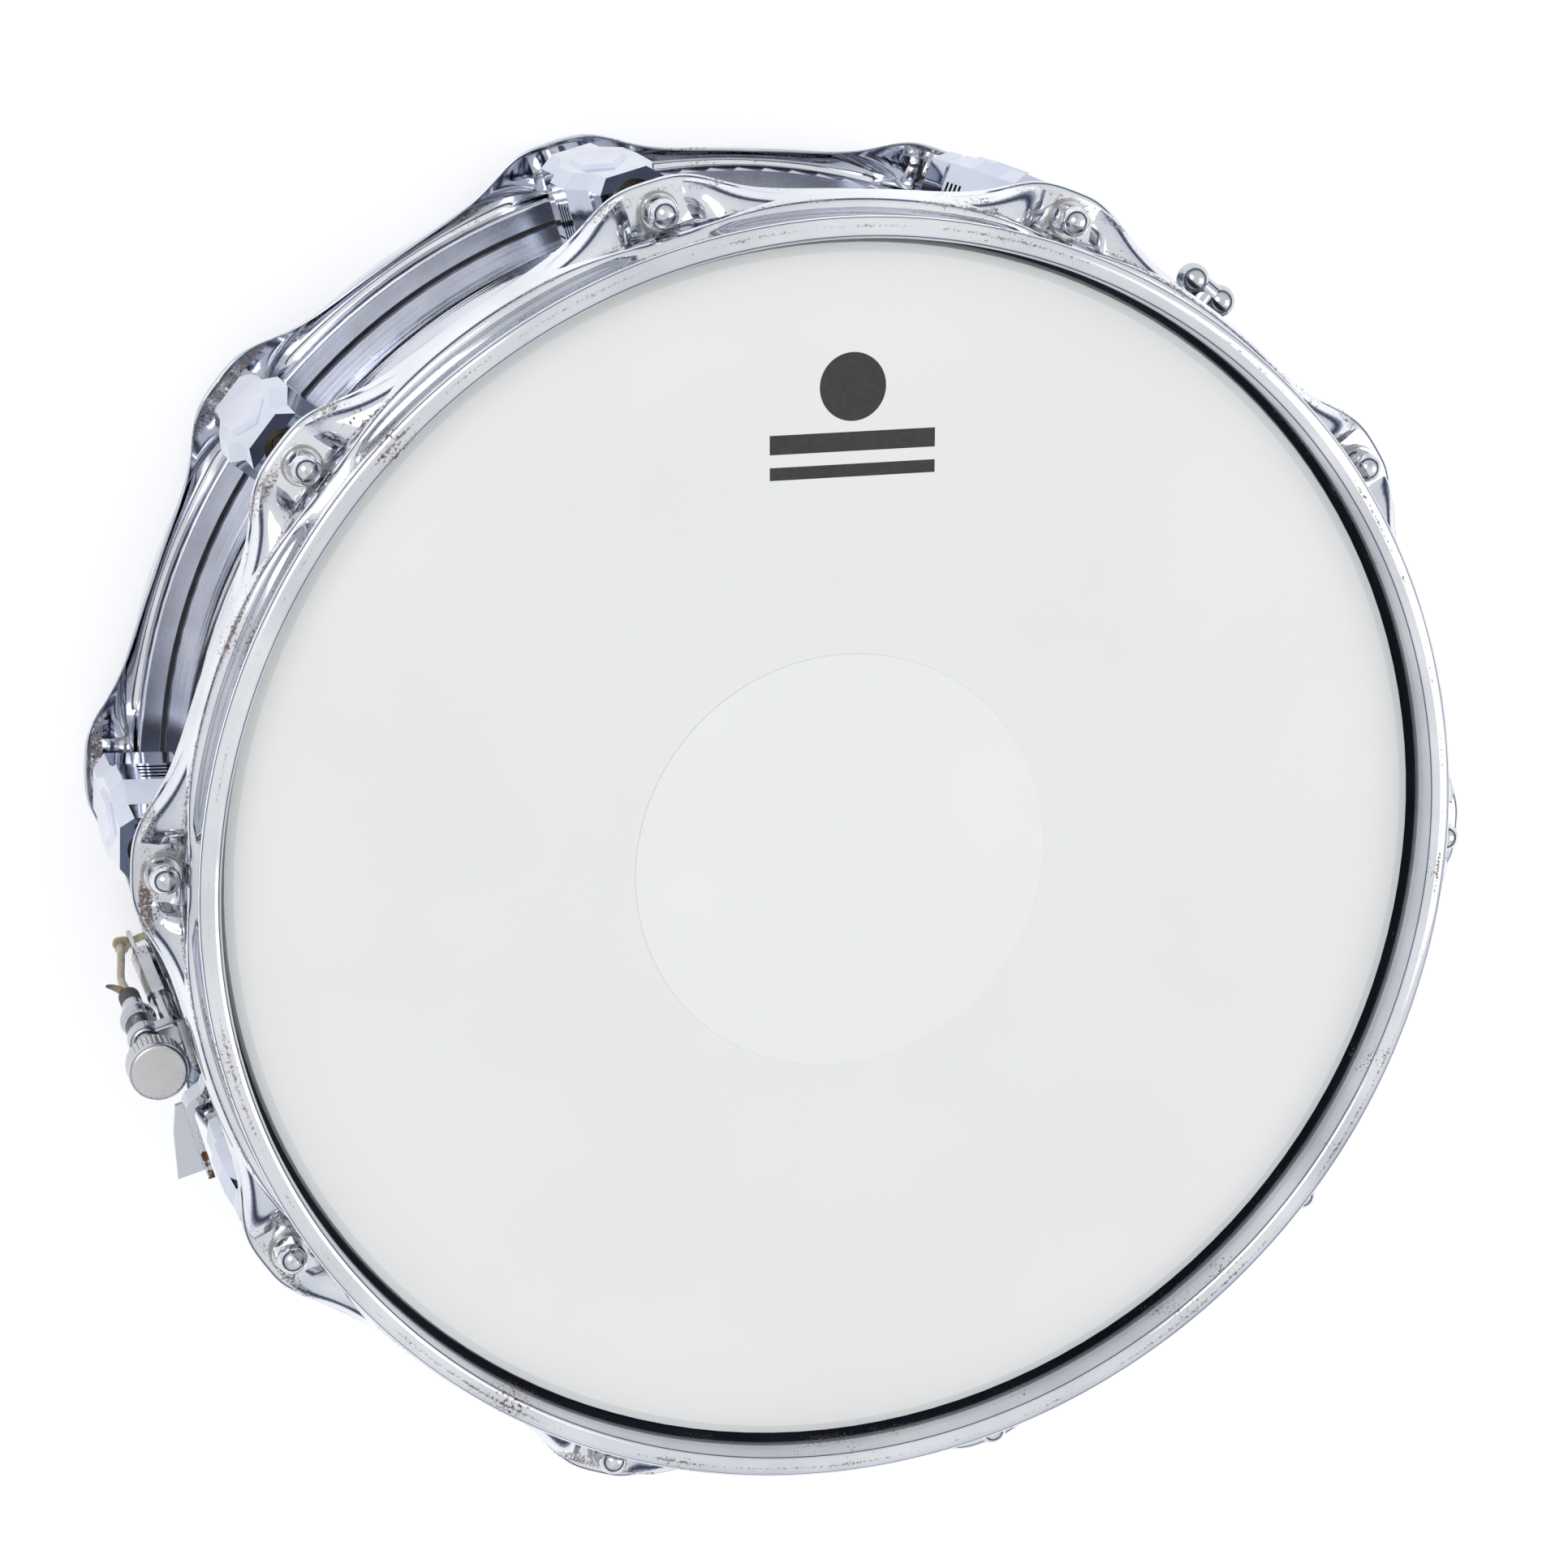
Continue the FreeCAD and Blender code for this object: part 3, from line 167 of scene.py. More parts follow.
def plated_steel(name, tint, shade, roughness, wave_mm, wave, pits, pit_mm=1.1, pit_colour="#5A4030",
                 haze=0.05, grime=(), spun=False):
    """Chrome plate on pressed steel: a hard bright mirror, slightly rippled by the sheet beneath,
    hazed by wiping, with brown pinholes where the plate has let damp through. Old dirt gathers in the
    folds that grime names by radius. A spun sheet keeps fine rings from the lathe."""
    material, tree = blank_material(name)
    place = add(tree, "ShaderNodeTexCoord").outputs["Object"]
    wiped = add(tree, "ShaderNodeTexNoise", {
        "Vector": place, "Scale": per_metre(14), "Detail": 6.0, "Roughness": 0.65})
    rough = add(tree, "ShaderNodeMapRange", {
        "Value": wiped.outputs["Fac"], "From Min": 0.35, "From Max": 0.75,
        "To Min": roughness, "To Max": roughness + haze})
    along = place
    if spun:
        along = add(tree, "ShaderNodeVectorMath", {0: place, 1: SPUN_STRETCH},
                    operation="MULTIPLY").outputs[0]
    ripple = add(tree, "ShaderNodeTexNoise", {"Vector": along, "Scale": per_metre(wave_mm), "Detail": 2.0})
    scratch = add(tree, "ShaderNodeTexNoise", {"Vector": place, "Scale": per_metre(0.8), "Detail": 3.0})
    fine = add(tree, "ShaderNodeBump", {
        "Height": scratch.outputs["Fac"], "Strength": 0.02, "Distance": 0.2 * MM})
    bump = add(tree, "ShaderNodeBump", {
        "Height": ripple.outputs["Fac"], "Strength": wave, "Distance": 4 * MM,
        "Normal": fine.outputs["Normal"]})
    patch = add(tree, "ShaderNodeTexNoise", {"Vector": place, "Scale": per_metre(38), "Detail": 4.0})
    cloudy = add(tree, "ShaderNodeValToRGB", {"Fac": patch.outputs["Fac"]},
                 stops=[(0.3, linear(tint)), (0.8, linear(shade))])

    specks = add(tree, "ShaderNodeTexNoise", {
        "Vector": place, "Scale": per_metre(pit_mm), "Detail": 5.0, "Roughness": 0.7})
    where = add(tree, "ShaderNodeTexNoise", {"Vector": place, "Scale": per_metre(26), "Detail": 3.0})
    together = add(tree, "ShaderNodeMath", {0: specks.outputs["Fac"], 1: where.outputs["Fac"]},
                   operation="MULTIPLY")
    mask = add(tree, "ShaderNodeValToRGB", {"Fac": together.outputs[0]},
               stops=[(0.46 - pits, grey(0)), (0.5 - pits, grey(1))]).outputs["Color"]
    for inner_mm, outer_mm in grime:
        fold = ring_mask(tree, place, inner_mm, outer_mm)
        caked = add(tree, "ShaderNodeMath", {0: fold, 1: specks.outputs["Fac"]}, operation="MULTIPLY")
        patchy = add(tree, "ShaderNodeMath", {0: caked.outputs[0], 1: where.outputs["Fac"]},
                     operation="MULTIPLY")
        dirty = add(tree, "ShaderNodeValToRGB", {"Fac": patchy.outputs[0]},
                    stops=[(0.24, grey(0)), (0.34, grey(0.85))])
        mask = add(tree, "ShaderNodeMath", {0: mask, 1: dirty.outputs["Color"]},
                   operation="MAXIMUM").outputs[0]
    colour = add(tree, "ShaderNodeMix", {0: mask, 6: cloudy.outputs["Color"], 7: linear(pit_colour)},
                 data_type="RGBA")
    plated = add(tree, "ShaderNodeMath", {0: 1.0, 1: mask}, operation="SUBTRACT")
    worn = add(tree, "ShaderNodeMath", {0: rough.outputs[0], 1: mask}, operation="ADD", use_clamp=True)
    shader = add(tree, "ShaderNodeBsdfPrincipled", {
        "Base Color": colour.outputs[2], "Metallic": plated.outputs[0], "Roughness": worn.outputs[0],
        "Normal": bump.outputs["Normal"]})
    add(tree, "ShaderNodeOutputMaterial", {"Surface": shader.outputs[0]})
    return material


# The bare edge of the thumb plate: where the rust begins and is full, along the plate and across it.
RUST_ALONG = (-35 * MM, -39 * MM)
RUST_ACROSS = (-197.6 * MM, -195.6 * MM)


def rusted_lever_plate():
    """Chrome plate that has torn off the thumb plate's edge and left dark brown rust."""
    material, tree = blank_material("rusted_lever_plate")
    place = add(tree, "ShaderNodeTexCoord").outputs["Object"]
    split = add(tree, "ShaderNodeSeparateXYZ", {"Vector": place})
    ragged = add(tree, "ShaderNodeTexNoise", {"Vector": place, "Scale": per_metre(3.5), "Detail": 6.0})
    along = add(tree, "ShaderNodeMapRange", {
        "Value": split.outputs["Y"], "From Min": RUST_ALONG[0], "From Max": RUST_ALONG[1]})
    inner = add(tree, "ShaderNodeMapRange", {
        "Value": split.outputs["X"], "From Min": RUST_ACROSS[0], "From Max": RUST_ACROSS[1]})
    zone = add(tree, "ShaderNodeMath", {0: along.outputs[0], 1: inner.outputs[0]}, operation="MULTIPLY")
    edge = add(tree, "ShaderNodeMath", {0: zone.outputs[0], 1: ragged.outputs["Fac"]}, operation="MULTIPLY")
    mask = add(tree, "ShaderNodeValToRGB", {"Fac": edge.outputs[0]},
               stops=[(0.34, grey(0)), (0.42, grey(1))]).outputs["Color"]
    grain = add(tree, "ShaderNodeTexNoise", {"Vector": place, "Scale": per_metre(0.9), "Detail": 5.0})
    rust = add(tree, "ShaderNodeValToRGB", {"Fac": grain.outputs["Fac"]},
               stops=[(0.35, linear("#2E1E17")), (0.7, linear("#7A5238"))]).outputs["Color"]
    colour = add(tree, "ShaderNodeMix", {0: mask, 6: linear("#BEC2CA"), 7: rust}, data_type="RGBA")
    plated = add(tree, "ShaderNodeMath", {0: 1.0, 1: mask}, operation="SUBTRACT")
    rough = add(tree, "ShaderNodeMapRange", {"Value": mask, "To Min": 0.09, "To Max": 0.85})
    bump = add(tree, "ShaderNodeBump", {
        "Height": grain.outputs["Fac"], "Strength": 0.15, "Distance": 0.3 * MM})
    shader = add(tree, "ShaderNodeBsdfPrincipled", {
        "Base Color": colour.outputs[2], "Metallic": plated.outputs[0], "Roughness": rough.outputs[0],
        "Normal": bump.outputs["Normal"]})
    add(tree, "ShaderNodeOutputMaterial", {"Surface": shader.outputs[0]})
    return material


# The wave texture's bands repeat after this length when its scale is 1.
WAVE_PERIOD = math.pi / 10
# A real rod's thread is about 0.8 mm. It is drawn as 6.3 mm bands, so that it shows from a distance.
THREAD_BAND_MM = 6.2832
THREAD_MIDDLE = 82 * MM
THREAD_REACH = 57 * MM


def threaded_rod(name):
    """Plated key rod: a bright turned head, and a rolled thread that shows as soft bright rings."""
    material, tree = blank_material(name)
    place = add(tree, "ShaderNodeTexCoord").outputs["Object"]
    thread = add(tree, "ShaderNodeTexWave", {
        "Vector": place, "Scale": per_metre(THREAD_BAND_MM) * WAVE_PERIOD, "Distortion": 0.0},
        wave_type="BANDS", bands_direction="Z")
    split = add(tree, "ShaderNodeSeparateXYZ", {"Vector": place})
    height = add(tree, "ShaderNodeMath", {0: split.outputs["Z"], 1: THREAD_MIDDLE}, operation="SUBTRACT")
    distance = add(tree, "ShaderNodeMath", {0: height.outputs[0]}, operation="ABSOLUTE")
    below = add(tree, "ShaderNodeMath", {0: distance.outputs[0], 1: THREAD_REACH}, operation="LESS_THAN")
    rings = add(tree, "ShaderNodeMath", {0: thread.outputs["Fac"], 1: below.outputs[0]}, operation="MULTIPLY")
    grime = add(tree, "ShaderNodeTexNoise", {"Vector": place, "Scale": per_metre(2.4), "Detail": 4.0})
    colour = add(tree, "ShaderNodeValToRGB", {"Fac": grime.outputs["Fac"]},
                 stops=[(0.35, linear("#B4B5B8")), (0.62, linear("#D6D8DB"))]).outputs["Color"]
    bump = add(tree, "ShaderNodeBump", {"Height": rings.outputs[0], "Strength": 0.6, "Distance": 0.3 * MM})
    shader = add(tree, "ShaderNodeBsdfPrincipled", {
        "Base Color": colour, "Metallic": 1.0, "Roughness": 0.1, "Normal": bump.outputs["Normal"]})
    add(tree, "ShaderNodeOutputMaterial", {"Surface": shader.outputs[0]})
    return material


def turned_metal(name, tint, roughness):
    """Plain turned or rolled metal: satin, with fine tool marks and darker patches."""
    material, tree = blank_material(name)
    place = add(tree, "ShaderNodeTexCoord").outputs["Object"]
    marks = add(tree, "ShaderNodeTexNoise", {"Vector": place, "Scale": per_metre(0.5), "Detail": 4.0})
    rough = add(tree, "ShaderNodeMapRange", {
        "Value": marks.outputs["Fac"], "To Min": roughness - 0.08, "To Max": roughness + 0.12})
    tone = add(tree, "ShaderNodeTexNoise", {"Vector": place, "Scale": per_metre(20), "Detail": 3.0})
    dull = darker(tint, 0.7)
    colour = add(tree, "ShaderNodeValToRGB", {"Fac": tone.outputs["Fac"]},
                 stops=[(0.3, dull), (0.7, linear(tint))]).outputs["Color"]
    bump = add(tree, "ShaderNodeBump", {
        "Height": marks.outputs["Fac"], "Strength": 0.08, "Distance": 0.2 * MM})
    shader = add(tree, "ShaderNodeBsdfPrincipled", {
        "Base Color": colour, "Metallic": 1.0, "Roughness": rough.outputs[0],
        "Normal": bump.outputs["Normal"]})
    add(tree, "ShaderNodeOutputMaterial", {"Surface": shader.outputs[0]})
    return material


# ------------------------------------------------------------------ films, cord, rubber, felt

POLYESTER_IOR = 1.57


def coated_film(name, tint, roughness):
    """Polyester film with a sprayed white coat: satin, very finely pebbled, a little cloudy."""
    material, tree = blank_material(name)
    place = add(tree, "ShaderNodeTexCoord").outputs["Object"]
    pebble = add(tree, "ShaderNodeTexNoise", {"Vector": place, "Scale": per_metre(0.9), "Detail": 3.0})
    cloud = add(tree, "ShaderNodeTexNoise", {"Vector": place, "Scale": per_metre(70), "Detail": 3.0})
    low = darker(tint, 0.975)
    colour = add(tree, "ShaderNodeValToRGB", {"Fac": cloud.outputs["Fac"]},
                 stops=[(0.35, low), (0.65, linear(tint))]).outputs["Color"]
    rough = add(tree, "ShaderNodeMapRange", {
        "Value": pebble.outputs["Fac"], "To Min": roughness - 0.06, "To Max": roughness + 0.06})
    bump = add(tree, "ShaderNodeBump", {
        "Height": pebble.outputs["Fac"], "Strength": 0.06, "Distance": 0.2 * MM})
    shader = add(tree, "ShaderNodeBsdfPrincipled", {
        "Base Color": colour, "Roughness": rough.outputs[0], "IOR": POLYESTER_IOR,
        "Normal": bump.outputs["Normal"]})
    add(tree, "ShaderNodeOutputMaterial", {"Surface": shader.outputs[0]})
    return material


def hazy_film():
    """Thin uncoated polyester: half clear, with a slight haze."""
    material, tree = blank_material("hazy_film")
    place = add(tree, "ShaderNodeTexCoord").outputs["Object"]
    haze = add(tree, "ShaderNodeTexNoise", {"Vector": place, "Scale": per_metre(60), "Detail": 4.0})
    colour = add(tree, "ShaderNodeValToRGB", {"Fac": haze.outputs["Fac"]},
                 stops=[(0.3, linear("#D2D5D8")), (0.7, linear("#DEE0E2"))]).outputs["Color"]
    shader = add(tree, "ShaderNodeBsdfPrincipled", {
        "Base Color": colour, "Roughness": 0.22, "IOR": POLYESTER_IOR, "Alpha": 0.72})
    add(tree, "ShaderNodeOutputMaterial", {"Surface": shader.outputs[0]})
    return material


def printed_ink():
    """Flat black screen ink, faintly mottled."""
    material, tree = blank_material("printed_ink")
    place = add(tree, "ShaderNodeTexCoord").outputs["Object"]
    mottle = add(tree, "ShaderNodeTexNoise", {"Vector": place, "Scale": per_metre(1.5), "Detail": 4.0})
    colour = add(tree, "ShaderNodeValToRGB", {"Fac": mottle.outputs["Fac"]},
                 stops=[(0.3, linear("#1F1E1E")), (0.7, linear("#2C2A2A"))]).outputs["Color"]
    shader = add(tree, "ShaderNodeBsdfPrincipled", {"Base Color": colour, "Roughness": 0.5, "IOR": 1.5})
    add(tree, "ShaderNodeOutputMaterial", {"Surface": shader.outputs[0]})
    return material


# Heights between which the sealed end of the cord darkens.
BURN_TOP = 57 * MM
BURN_FOOT = 53 * MM


def cotton_cord(name, clean, soiled, burnt=None):
    """Twisted cotton: matt, hairy, greyed by handling. A cut end sealed with a flame is burnt dark."""
    material, tree = blank_material(name)
    place = add(tree, "ShaderNodeTexCoord").outputs["Object"]
    dirt = add(tree, "ShaderNodeTexNoise", {"Vector": place, "Scale": per_metre(5), "Detail": 5.0})
    colour = add(tree, "ShaderNodeValToRGB", {"Fac": dirt.outputs["Fac"]},
                 stops=[(0.32, linear(soiled)), (0.62, linear(clean))]).outputs["Color"]
    if burnt:
        split = add(tree, "ShaderNodeSeparateXYZ", {"Vector": place})
        singed = add(tree, "ShaderNodeMapRange", {
            "Value": split.outputs["Z"], "From Min": BURN_TOP, "From Max": BURN_FOOT})
        colour = add(tree, "ShaderNodeMix", {0: singed.outputs[0], 6: colour, 7: linear(burnt)},
                     data_type="RGBA").outputs[2]
    fibre = add(tree, "ShaderNodeTexNoise", {"Vector": place, "Scale": per_metre(0.35), "Detail": 4.0})
    bump = add(tree, "ShaderNodeBump", {
        "Height": fibre.outputs["Fac"], "Strength": 0.35, "Distance": 0.2 * MM})
    shader = add(tree, "ShaderNodeBsdfPrincipled", {
        "Base Color": colour, "Roughness": 0.92, "Sheen Weight": 0.3, "Normal": bump.outputs["Normal"]})
    add(tree, "ShaderNodeOutputMaterial", {"Surface": shader.outputs[0]})
    return material


def matt_soft(name, light, dark, roughness, grain_mm, strength):
    """Rubber or felt: a matt surface whose grain shows as a small rough relief."""
    material, tree = blank_material(name)
    place = add(tree, "ShaderNodeTexCoord").outputs["Object"]
    grain = add(tree, "ShaderNodeTexNoise", {"Vector": place, "Scale": per_metre(grain_mm), "Detail": 6.0})
    colour = add(tree, "ShaderNodeValToRGB", {"Fac": grain.outputs["Fac"]},
                 stops=[(0.3, linear(dark)), (0.7, linear(light))]).outputs["Color"]
    bump = add(tree, "ShaderNodeBump", {
        "Height": grain.outputs["Fac"], "Strength": strength, "Distance": 0.4 * MM})
    shader = add(tree, "ShaderNodeBsdfPrincipled", {
        "Base Color": colour, "Roughness": roughness, "Normal": bump.outputs["Normal"]})
    add(tree, "ShaderNodeOutputMaterial", {"Surface": shader.outputs[0]})
    return material


# Each slot's finish, with what it gives the eye.
MATERIALS = {
    # A cool, nearly flat mirror with faint lathe rings.
    "shell_chrome": plated_steel("shell_plate", "#DCDFE9", "#BBBFCB", 0.05, wave_mm=30, wave=0.05, pits=0.02,
                                 spun=True),
    # The brightest plate, dirty in its folds and pitted along its edges.
    "hoop_chrome": plated_steel("hoop_plate", "#E4E6EA", "#BFC2C9", 0.07, wave_mm=34, wave=0.05, pits=0.09,
                                pit_mm=0.9, grime=((181.2, 183.6), (186.5, 189.0), (194.0, 199.0))),
    # Sharp cast facets that each mirror one tone.
    "lug_chrome": plated_steel("lug_plate", "#CDD2DF", "#A6ACBE", 0.05, wave_mm=24, wave=0.06, pits=0.03),
    # Small handled fittings, duller and more worn.
    "fitting_chrome": plated_steel("fitting_plate", "#CDCFD5", "#989BA2", 0.1, wave_mm=12, wave=0.05,
                                   pits=0.1, pit_mm=0.8, haze=0.14),
    # Bright rods, ringed by their thread.
    "rod_chrome": threaded_rod("rod_plate"),
    # Satin greys for the small hardware.
    "washer_steel": turned_metal("washer_plate", "#B4B3B1", 0.28),
    "screw_steel": turned_metal("screw_zinc", "#A9AAAC", 0.34),
    "flesh_alloy": turned_metal("flesh_alloy", "#DCDFE9", 0.2),
    # Old brass, brown deep in the lugs.
    "nut_brass": turned_metal("nut_brass", "#8C7F6A", 0.36),
    "snare_steel": turned_metal("snare_wire_plate", "#BDBEC0", 0.26),
    "damper_steel": turned_metal("damper_zinc", "#A4A6A9", 0.36),
    # Chalky off-white film, a shade lighter where the dot doubles it.
    "coated_film": coated_film("coated_film", "#DEDFDE", 0.46),
    "dot_film": coated_film("dot_film", "#E1E2E1", 0.46),
    # Smoky film under the drum.
    "clear_film": hazy_film(),
    # Dusty dark rubber at the cord's end.
    "sleeve_rubber": matt_soft("sleeve_rubber", "#565350", "#34312F", 0.7, 1.2, 0.2),
    # Yellowed string.
    "cotton_cord": cotton_cord("cotton_cord", "#CDC2A8", "#9D8E72"),
    # Soft grey-white wool.
    "damper_felt": matt_soft("damper_felt", "#D6D0C2", "#B4AD9C", 0.95, 1.4, 0.6),
}
SINGED_CORD = cotton_cord("singed_cord", "#8E7E62", "#6A563E", burnt="#3A2218")
INK = printed_ink()
# Three nodes are finished differently from the rest of their slot: two are worn, and one is painted dark as
# shade.
WORN_AND_SHADED_NODES = {
    "throw_lever": rusted_lever_plate(),
    # A scuffed top, brown in its scratches.
    "tension_knob": plated_steel("worn_knob_plate", "#D2D3D6", "#A5A4A2", 0.2, wave_mm=9, wave=0.1, pits=0.13,
                                 pit_mm=0.7, pit_colour="#6A5436", haze=0.2),
    # Painted shade: the batter side's flesh hoop is nearly black, standing in for the shadow in the groove
    # between the rim and the film.
    "batter_flesh_hoop": turned_metal("shadow_dark_flesh_alloy", "#30343F", 0.45),
}


def finish_nodes():
    """Gives every CAD piece the finish of its slot, except the worn lever and knob and the batter side's
    flesh hoop, which is painted dark as shade.
    """
    slots = {row["node"]: row["material_slot"] for row in frame["record"]["subparts"]}
    for name, piece in parts.items():
        finish = WORN_AND_SHADED_NODES.get(name, MATERIALS[slots[name]])
        piece.data.materials.clear()
        piece.data.materials.append(finish)


finish_nodes()


# ------------------------------------------------------------------ mesh helpers

LINE_STEPS = 10
CORD_SIDES = 18
CORD_RIDGES = 3
CORD_RELIEF = 0.1
CORD_LAY = 5.0 * MM
CORD_STEP = 0.35 * MM


def new_mesh(name, points, faces, material, smooth=True):
    """A mesh object with one material, linked to the scene."""
    data = bpy.data.meshes.new(name)
    data.from_pydata([tuple(point) for point in points], [], faces)
    data.materials.append(material)
    for face in data.polygons:
        face.use_smooth = smooth
    piece = bpy.data.objects.new(name, data)
    scene.collection.objects.link(piece)
    return piece


def smooth_line(points):
    """Points along the smooth curve that follows a route."""
    data = bpy.data.curves.new("route", "CURVE")
    data.dimensions = "3D"
    data.resolution_u = LINE_STEPS
    spline = data.splines.new("NURBS")
    spline.points.add(len(points) - 1)
    for control, place in zip(spline.points, points):
        control.co = (*place, 1.0)
    spline.order_u = 3
    spline.use_endpoint_u = True
    holder = bpy.data.objects.new("route", data)
    scene.collection.objects.link(holder)
    mesh = bpy.data.meshes.new_from_object(holder)
    line = [vertex.co.copy() for vertex in mesh.vertices]
    bpy.data.objects.remove(holder)
    bpy.data.meshes.remove(mesh)
    return line


def twisted_tube(name, line, radius, material, taper=0.0):
    """A laid cord along a line: its ridges wind round it once every lay. Taper thins it towards its end."""
    points = []
    normal = None
    travelled = 0.0
    for step, place in enumerate(line):
        ahead = line[min(step + 1, len(line) - 1)]
        behind = line[max(step - 1, 0)]
        direction = (ahead - behind).normalized()
        if normal is None:
            normal = direction.orthogonal().normalized()
        normal = (normal - direction * normal.dot(direction)).normalized()
        side = direction.cross(normal)
        if step:
            travelled += (place - line[step - 1]).length
        wind = 2 * math.pi * travelled / CORD_LAY
        width = radius * (1.0 - taper * (step / (len(line) - 1)) ** 2)
        for corner in range(CORD_SIDES):
            turn = 2 * math.pi * corner / CORD_SIDES
            swelling = abs(math.cos(CORD_RIDGES * (turn + wind) / 2))
            ridge = min(1.0, 1 + CORD_RELIEF * (2 * swelling - 1.5))
            points.append(place + (normal * math.cos(turn) + side * math.sin(turn)) * width * ridge)
    faces = []
    for step in range(len(line) - 1):
        for corner in range(CORD_SIDES):
            near = step * CORD_SIDES + corner
            beside = step * CORD_SIDES + (corner + 1) % CORD_SIDES
            faces.append((near, beside, beside + CORD_SIDES, near + CORD_SIDES))
    faces.append(tuple(reversed(range(CORD_SIDES))))
    last = (len(line) - 1) * CORD_SIDES
    faces.append(tuple(range(last, last + CORD_SIDES)))
    return new_mesh(name, points, faces, material)


def dense(line):
    """The same line with closer points on it, which a cord's fine relief needs."""
    points = [line[0]]
    for place, ahead in zip(line, line[1:]):
        count = max(1, math.ceil((ahead - place).length / CORD_STEP))
        for step in range(1, count + 1):
            points.append(place.lerp(ahead, step / count))
    return points


def in_metres(route):
    """A route in millimetres as vectors in metres."""
    return [Vector(point) * MM for point in route]


# ------------------------------------------------------------------ hoops

LUGS = 10
FIRST_LUG_ANGLE = 90.0
HOOP_STEPS = 720
# Half widths of an ear and of its pocket in degrees round the hoop, and how steep their sides are.
EAR_WIDTH = 6.4
EAR_SHARPNESS = 3.4
POCKET_WIDTH = 3.3
POCKET_SHARPNESS = 5.0
# The window for the snares' cord in millimetres: its width, its heights over the drum's lowest edge, and
# the distances from the axis that its cutter reaches between.
GATE_WIDTH = 49.0
GATE_HEIGHTS = (5.1, 13.6)
GATE_REACH = (174.0, 181.6)
# The hoop's section in millimetres: distance from the drum's axis, and height from the rim's edge, which is
# negative towards the shell. The rim is the same all the way round.
RIM_SECTION = [
    (178.8, -17.0), (178.8, -10.0), (178.8, -1.6), (179.3, -0.6), (180.2, -0.05), (182.0, 0.0),
    (184.2, -0.1), (185.1, -0.8), (185.1, -1.5), (184.2, -1.9), (182.0, -1.9), (180.9, -2.5),
    (180.5, -3.8), (180.4, -9.0), (180.5, -13.4), (180.9, -14.5), (182.0, -14.9),
]
# Between two ears the flange is a rounded fold that hangs over the edge.
FOLD_SECTION = [
    (183.6, -14.6), (185.2, -14.1), (186.8, -14.1), (188.2, -15.0), (189.2, -16.8), (189.6, -19.4),
    (189.6, -21.8), (189.5, -23.6), (189.4, -24.8), (189.2, -25.6), (188.9, -26.0), (188.5, -26.0),
    (188.2, -25.7), (188.1, -24.8), (188.1, -22.0), (188.1, -19.4), (187.6, -17.0), (186.2, -15.7),
    (184.8, -15.6), (183.4, -16.1), (181.8, -16.6), (180.2, -16.9),
]
# At an ear it is a flat pocket for the rod's washer, with a turned edge.
POCKET_SECTION = [
    (184.2, -15.3), (185.6, -16.4), (186.2, -18.4), (186.3, -21.0), (186.6, -22.8), (187.6, -23.35),
    (190.5, -23.4), (194.0, -23.4), (198.6, -23.4), (199.9, -23.8), (200.3, -24.8), (200.2, -26.4),
    (199.8, -26.7), (199.3, -26.6), (199.0, -25.4), (198.0, -24.7), (192.0, -24.7), (187.0, -24.7),
    (185.4, -24.2), (184.75, -22.0), (184.6, -18.8), (182.5, -16.9),
]


def swell(angle, width, sharpness):
    """One at an ear, falling smoothly to nothing between two ears."""
    pitch = 360 / LUGS
    away = (angle - FIRST_LUG_ANGLE + pitch / 2) % pitch - pitch / 2
    return 1 / (1 + (abs(away) / width) ** sharpness)


def make_hoop(name, node, upside_down):
    """A pressed triple-flanged hoop: its flange folds over between the ears and is flat at each of them."""
    low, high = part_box(node)
    points = []
    for step in range(HOOP_STEPS):
        angle = 360 * step / HOOP_STEPS
        turn = math.radians(angle)
        outward = swell(angle, EAR_WIDTH, EAR_SHARPNESS)
        down = swell(angle, POCKET_WIDTH, POCKET_SHARPNESS)
        section = list(RIM_SECTION)
        for fold, pocket in zip(FOLD_SECTION, POCKET_SECTION):
            reach = fold[0] + (pocket[0] - fold[0]) * outward
            section.append((reach, fold[1] + (pocket[1] - fold[1]) * down))
        for reach, drop in section:
            level = low.z - drop * MM if upside_down else high.z + drop * MM
            points.append((reach * MM * math.cos(turn), reach * MM * math.sin(turn), level))
    count = len(RIM_SECTION) + len(FOLD_SECTION)
    faces = []
    for step in range(HOOP_STEPS):
        here = step * count
        ahead = (step + 1) % HOOP_STEPS * count
        for row in range(count):
            above = (row + 1) % count
            face = (here + row, here + above, ahead + above, ahead + row)
            faces.append(face if upside_down else face[::-1])
    hoop = new_mesh(name, points, faces, MATERIALS["hoop_chrome"])
    if upside_down:
        cut_gates(hoop, low.z)
    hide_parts(node)
    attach(hoop, "drum")


def cut_gates(hoop, foot):
    """Cuts the two windows in the rim that the snares' cords pass through."""
    sides = [(0, 1, 3, 2), (4, 6, 7, 5), (0, 4, 5, 1), (2, 3, 7, 6), (0, 2, 6, 4), (1, 5, 7, 3)]
    boxes = []
    for facing in (-1, 1):
        corners = [
            (reach * facing * MM, y * MM, foot + height * MM)
            for reach in GATE_REACH
            for y in (-GATE_WIDTH / 2, GATE_WIDTH / 2)
            for height in GATE_HEIGHTS
        ]
        faces = [side if facing > 0 else side[::-1] for side in sides]
        boxes.append(new_mesh("gate_cutter", corners, faces, MATERIALS["hoop_chrome"], smooth=False))
    for box in boxes:
        cutting = hoop.modifiers.new("gate", "BOOLEAN")
        cutting.operation = "DIFFERENCE"
        cutting.solver = "EXACT"
        cutting.object = box
    evaluated = hoop.evaluated_get(bpy.context.evaluated_depsgraph_get())
    settled = bpy.data.meshes.new_from_object(evaluated)
    hoop.modifiers.clear()
    hoop.data = settled
    for box in boxes:
        bpy.data.objects.remove(box)


make_hoop("batter_hoop_pressing", "batter_hoop", upside_down=False)
make_hoop("snare_hoop_pressing", "snare_hoop", upside_down=True)


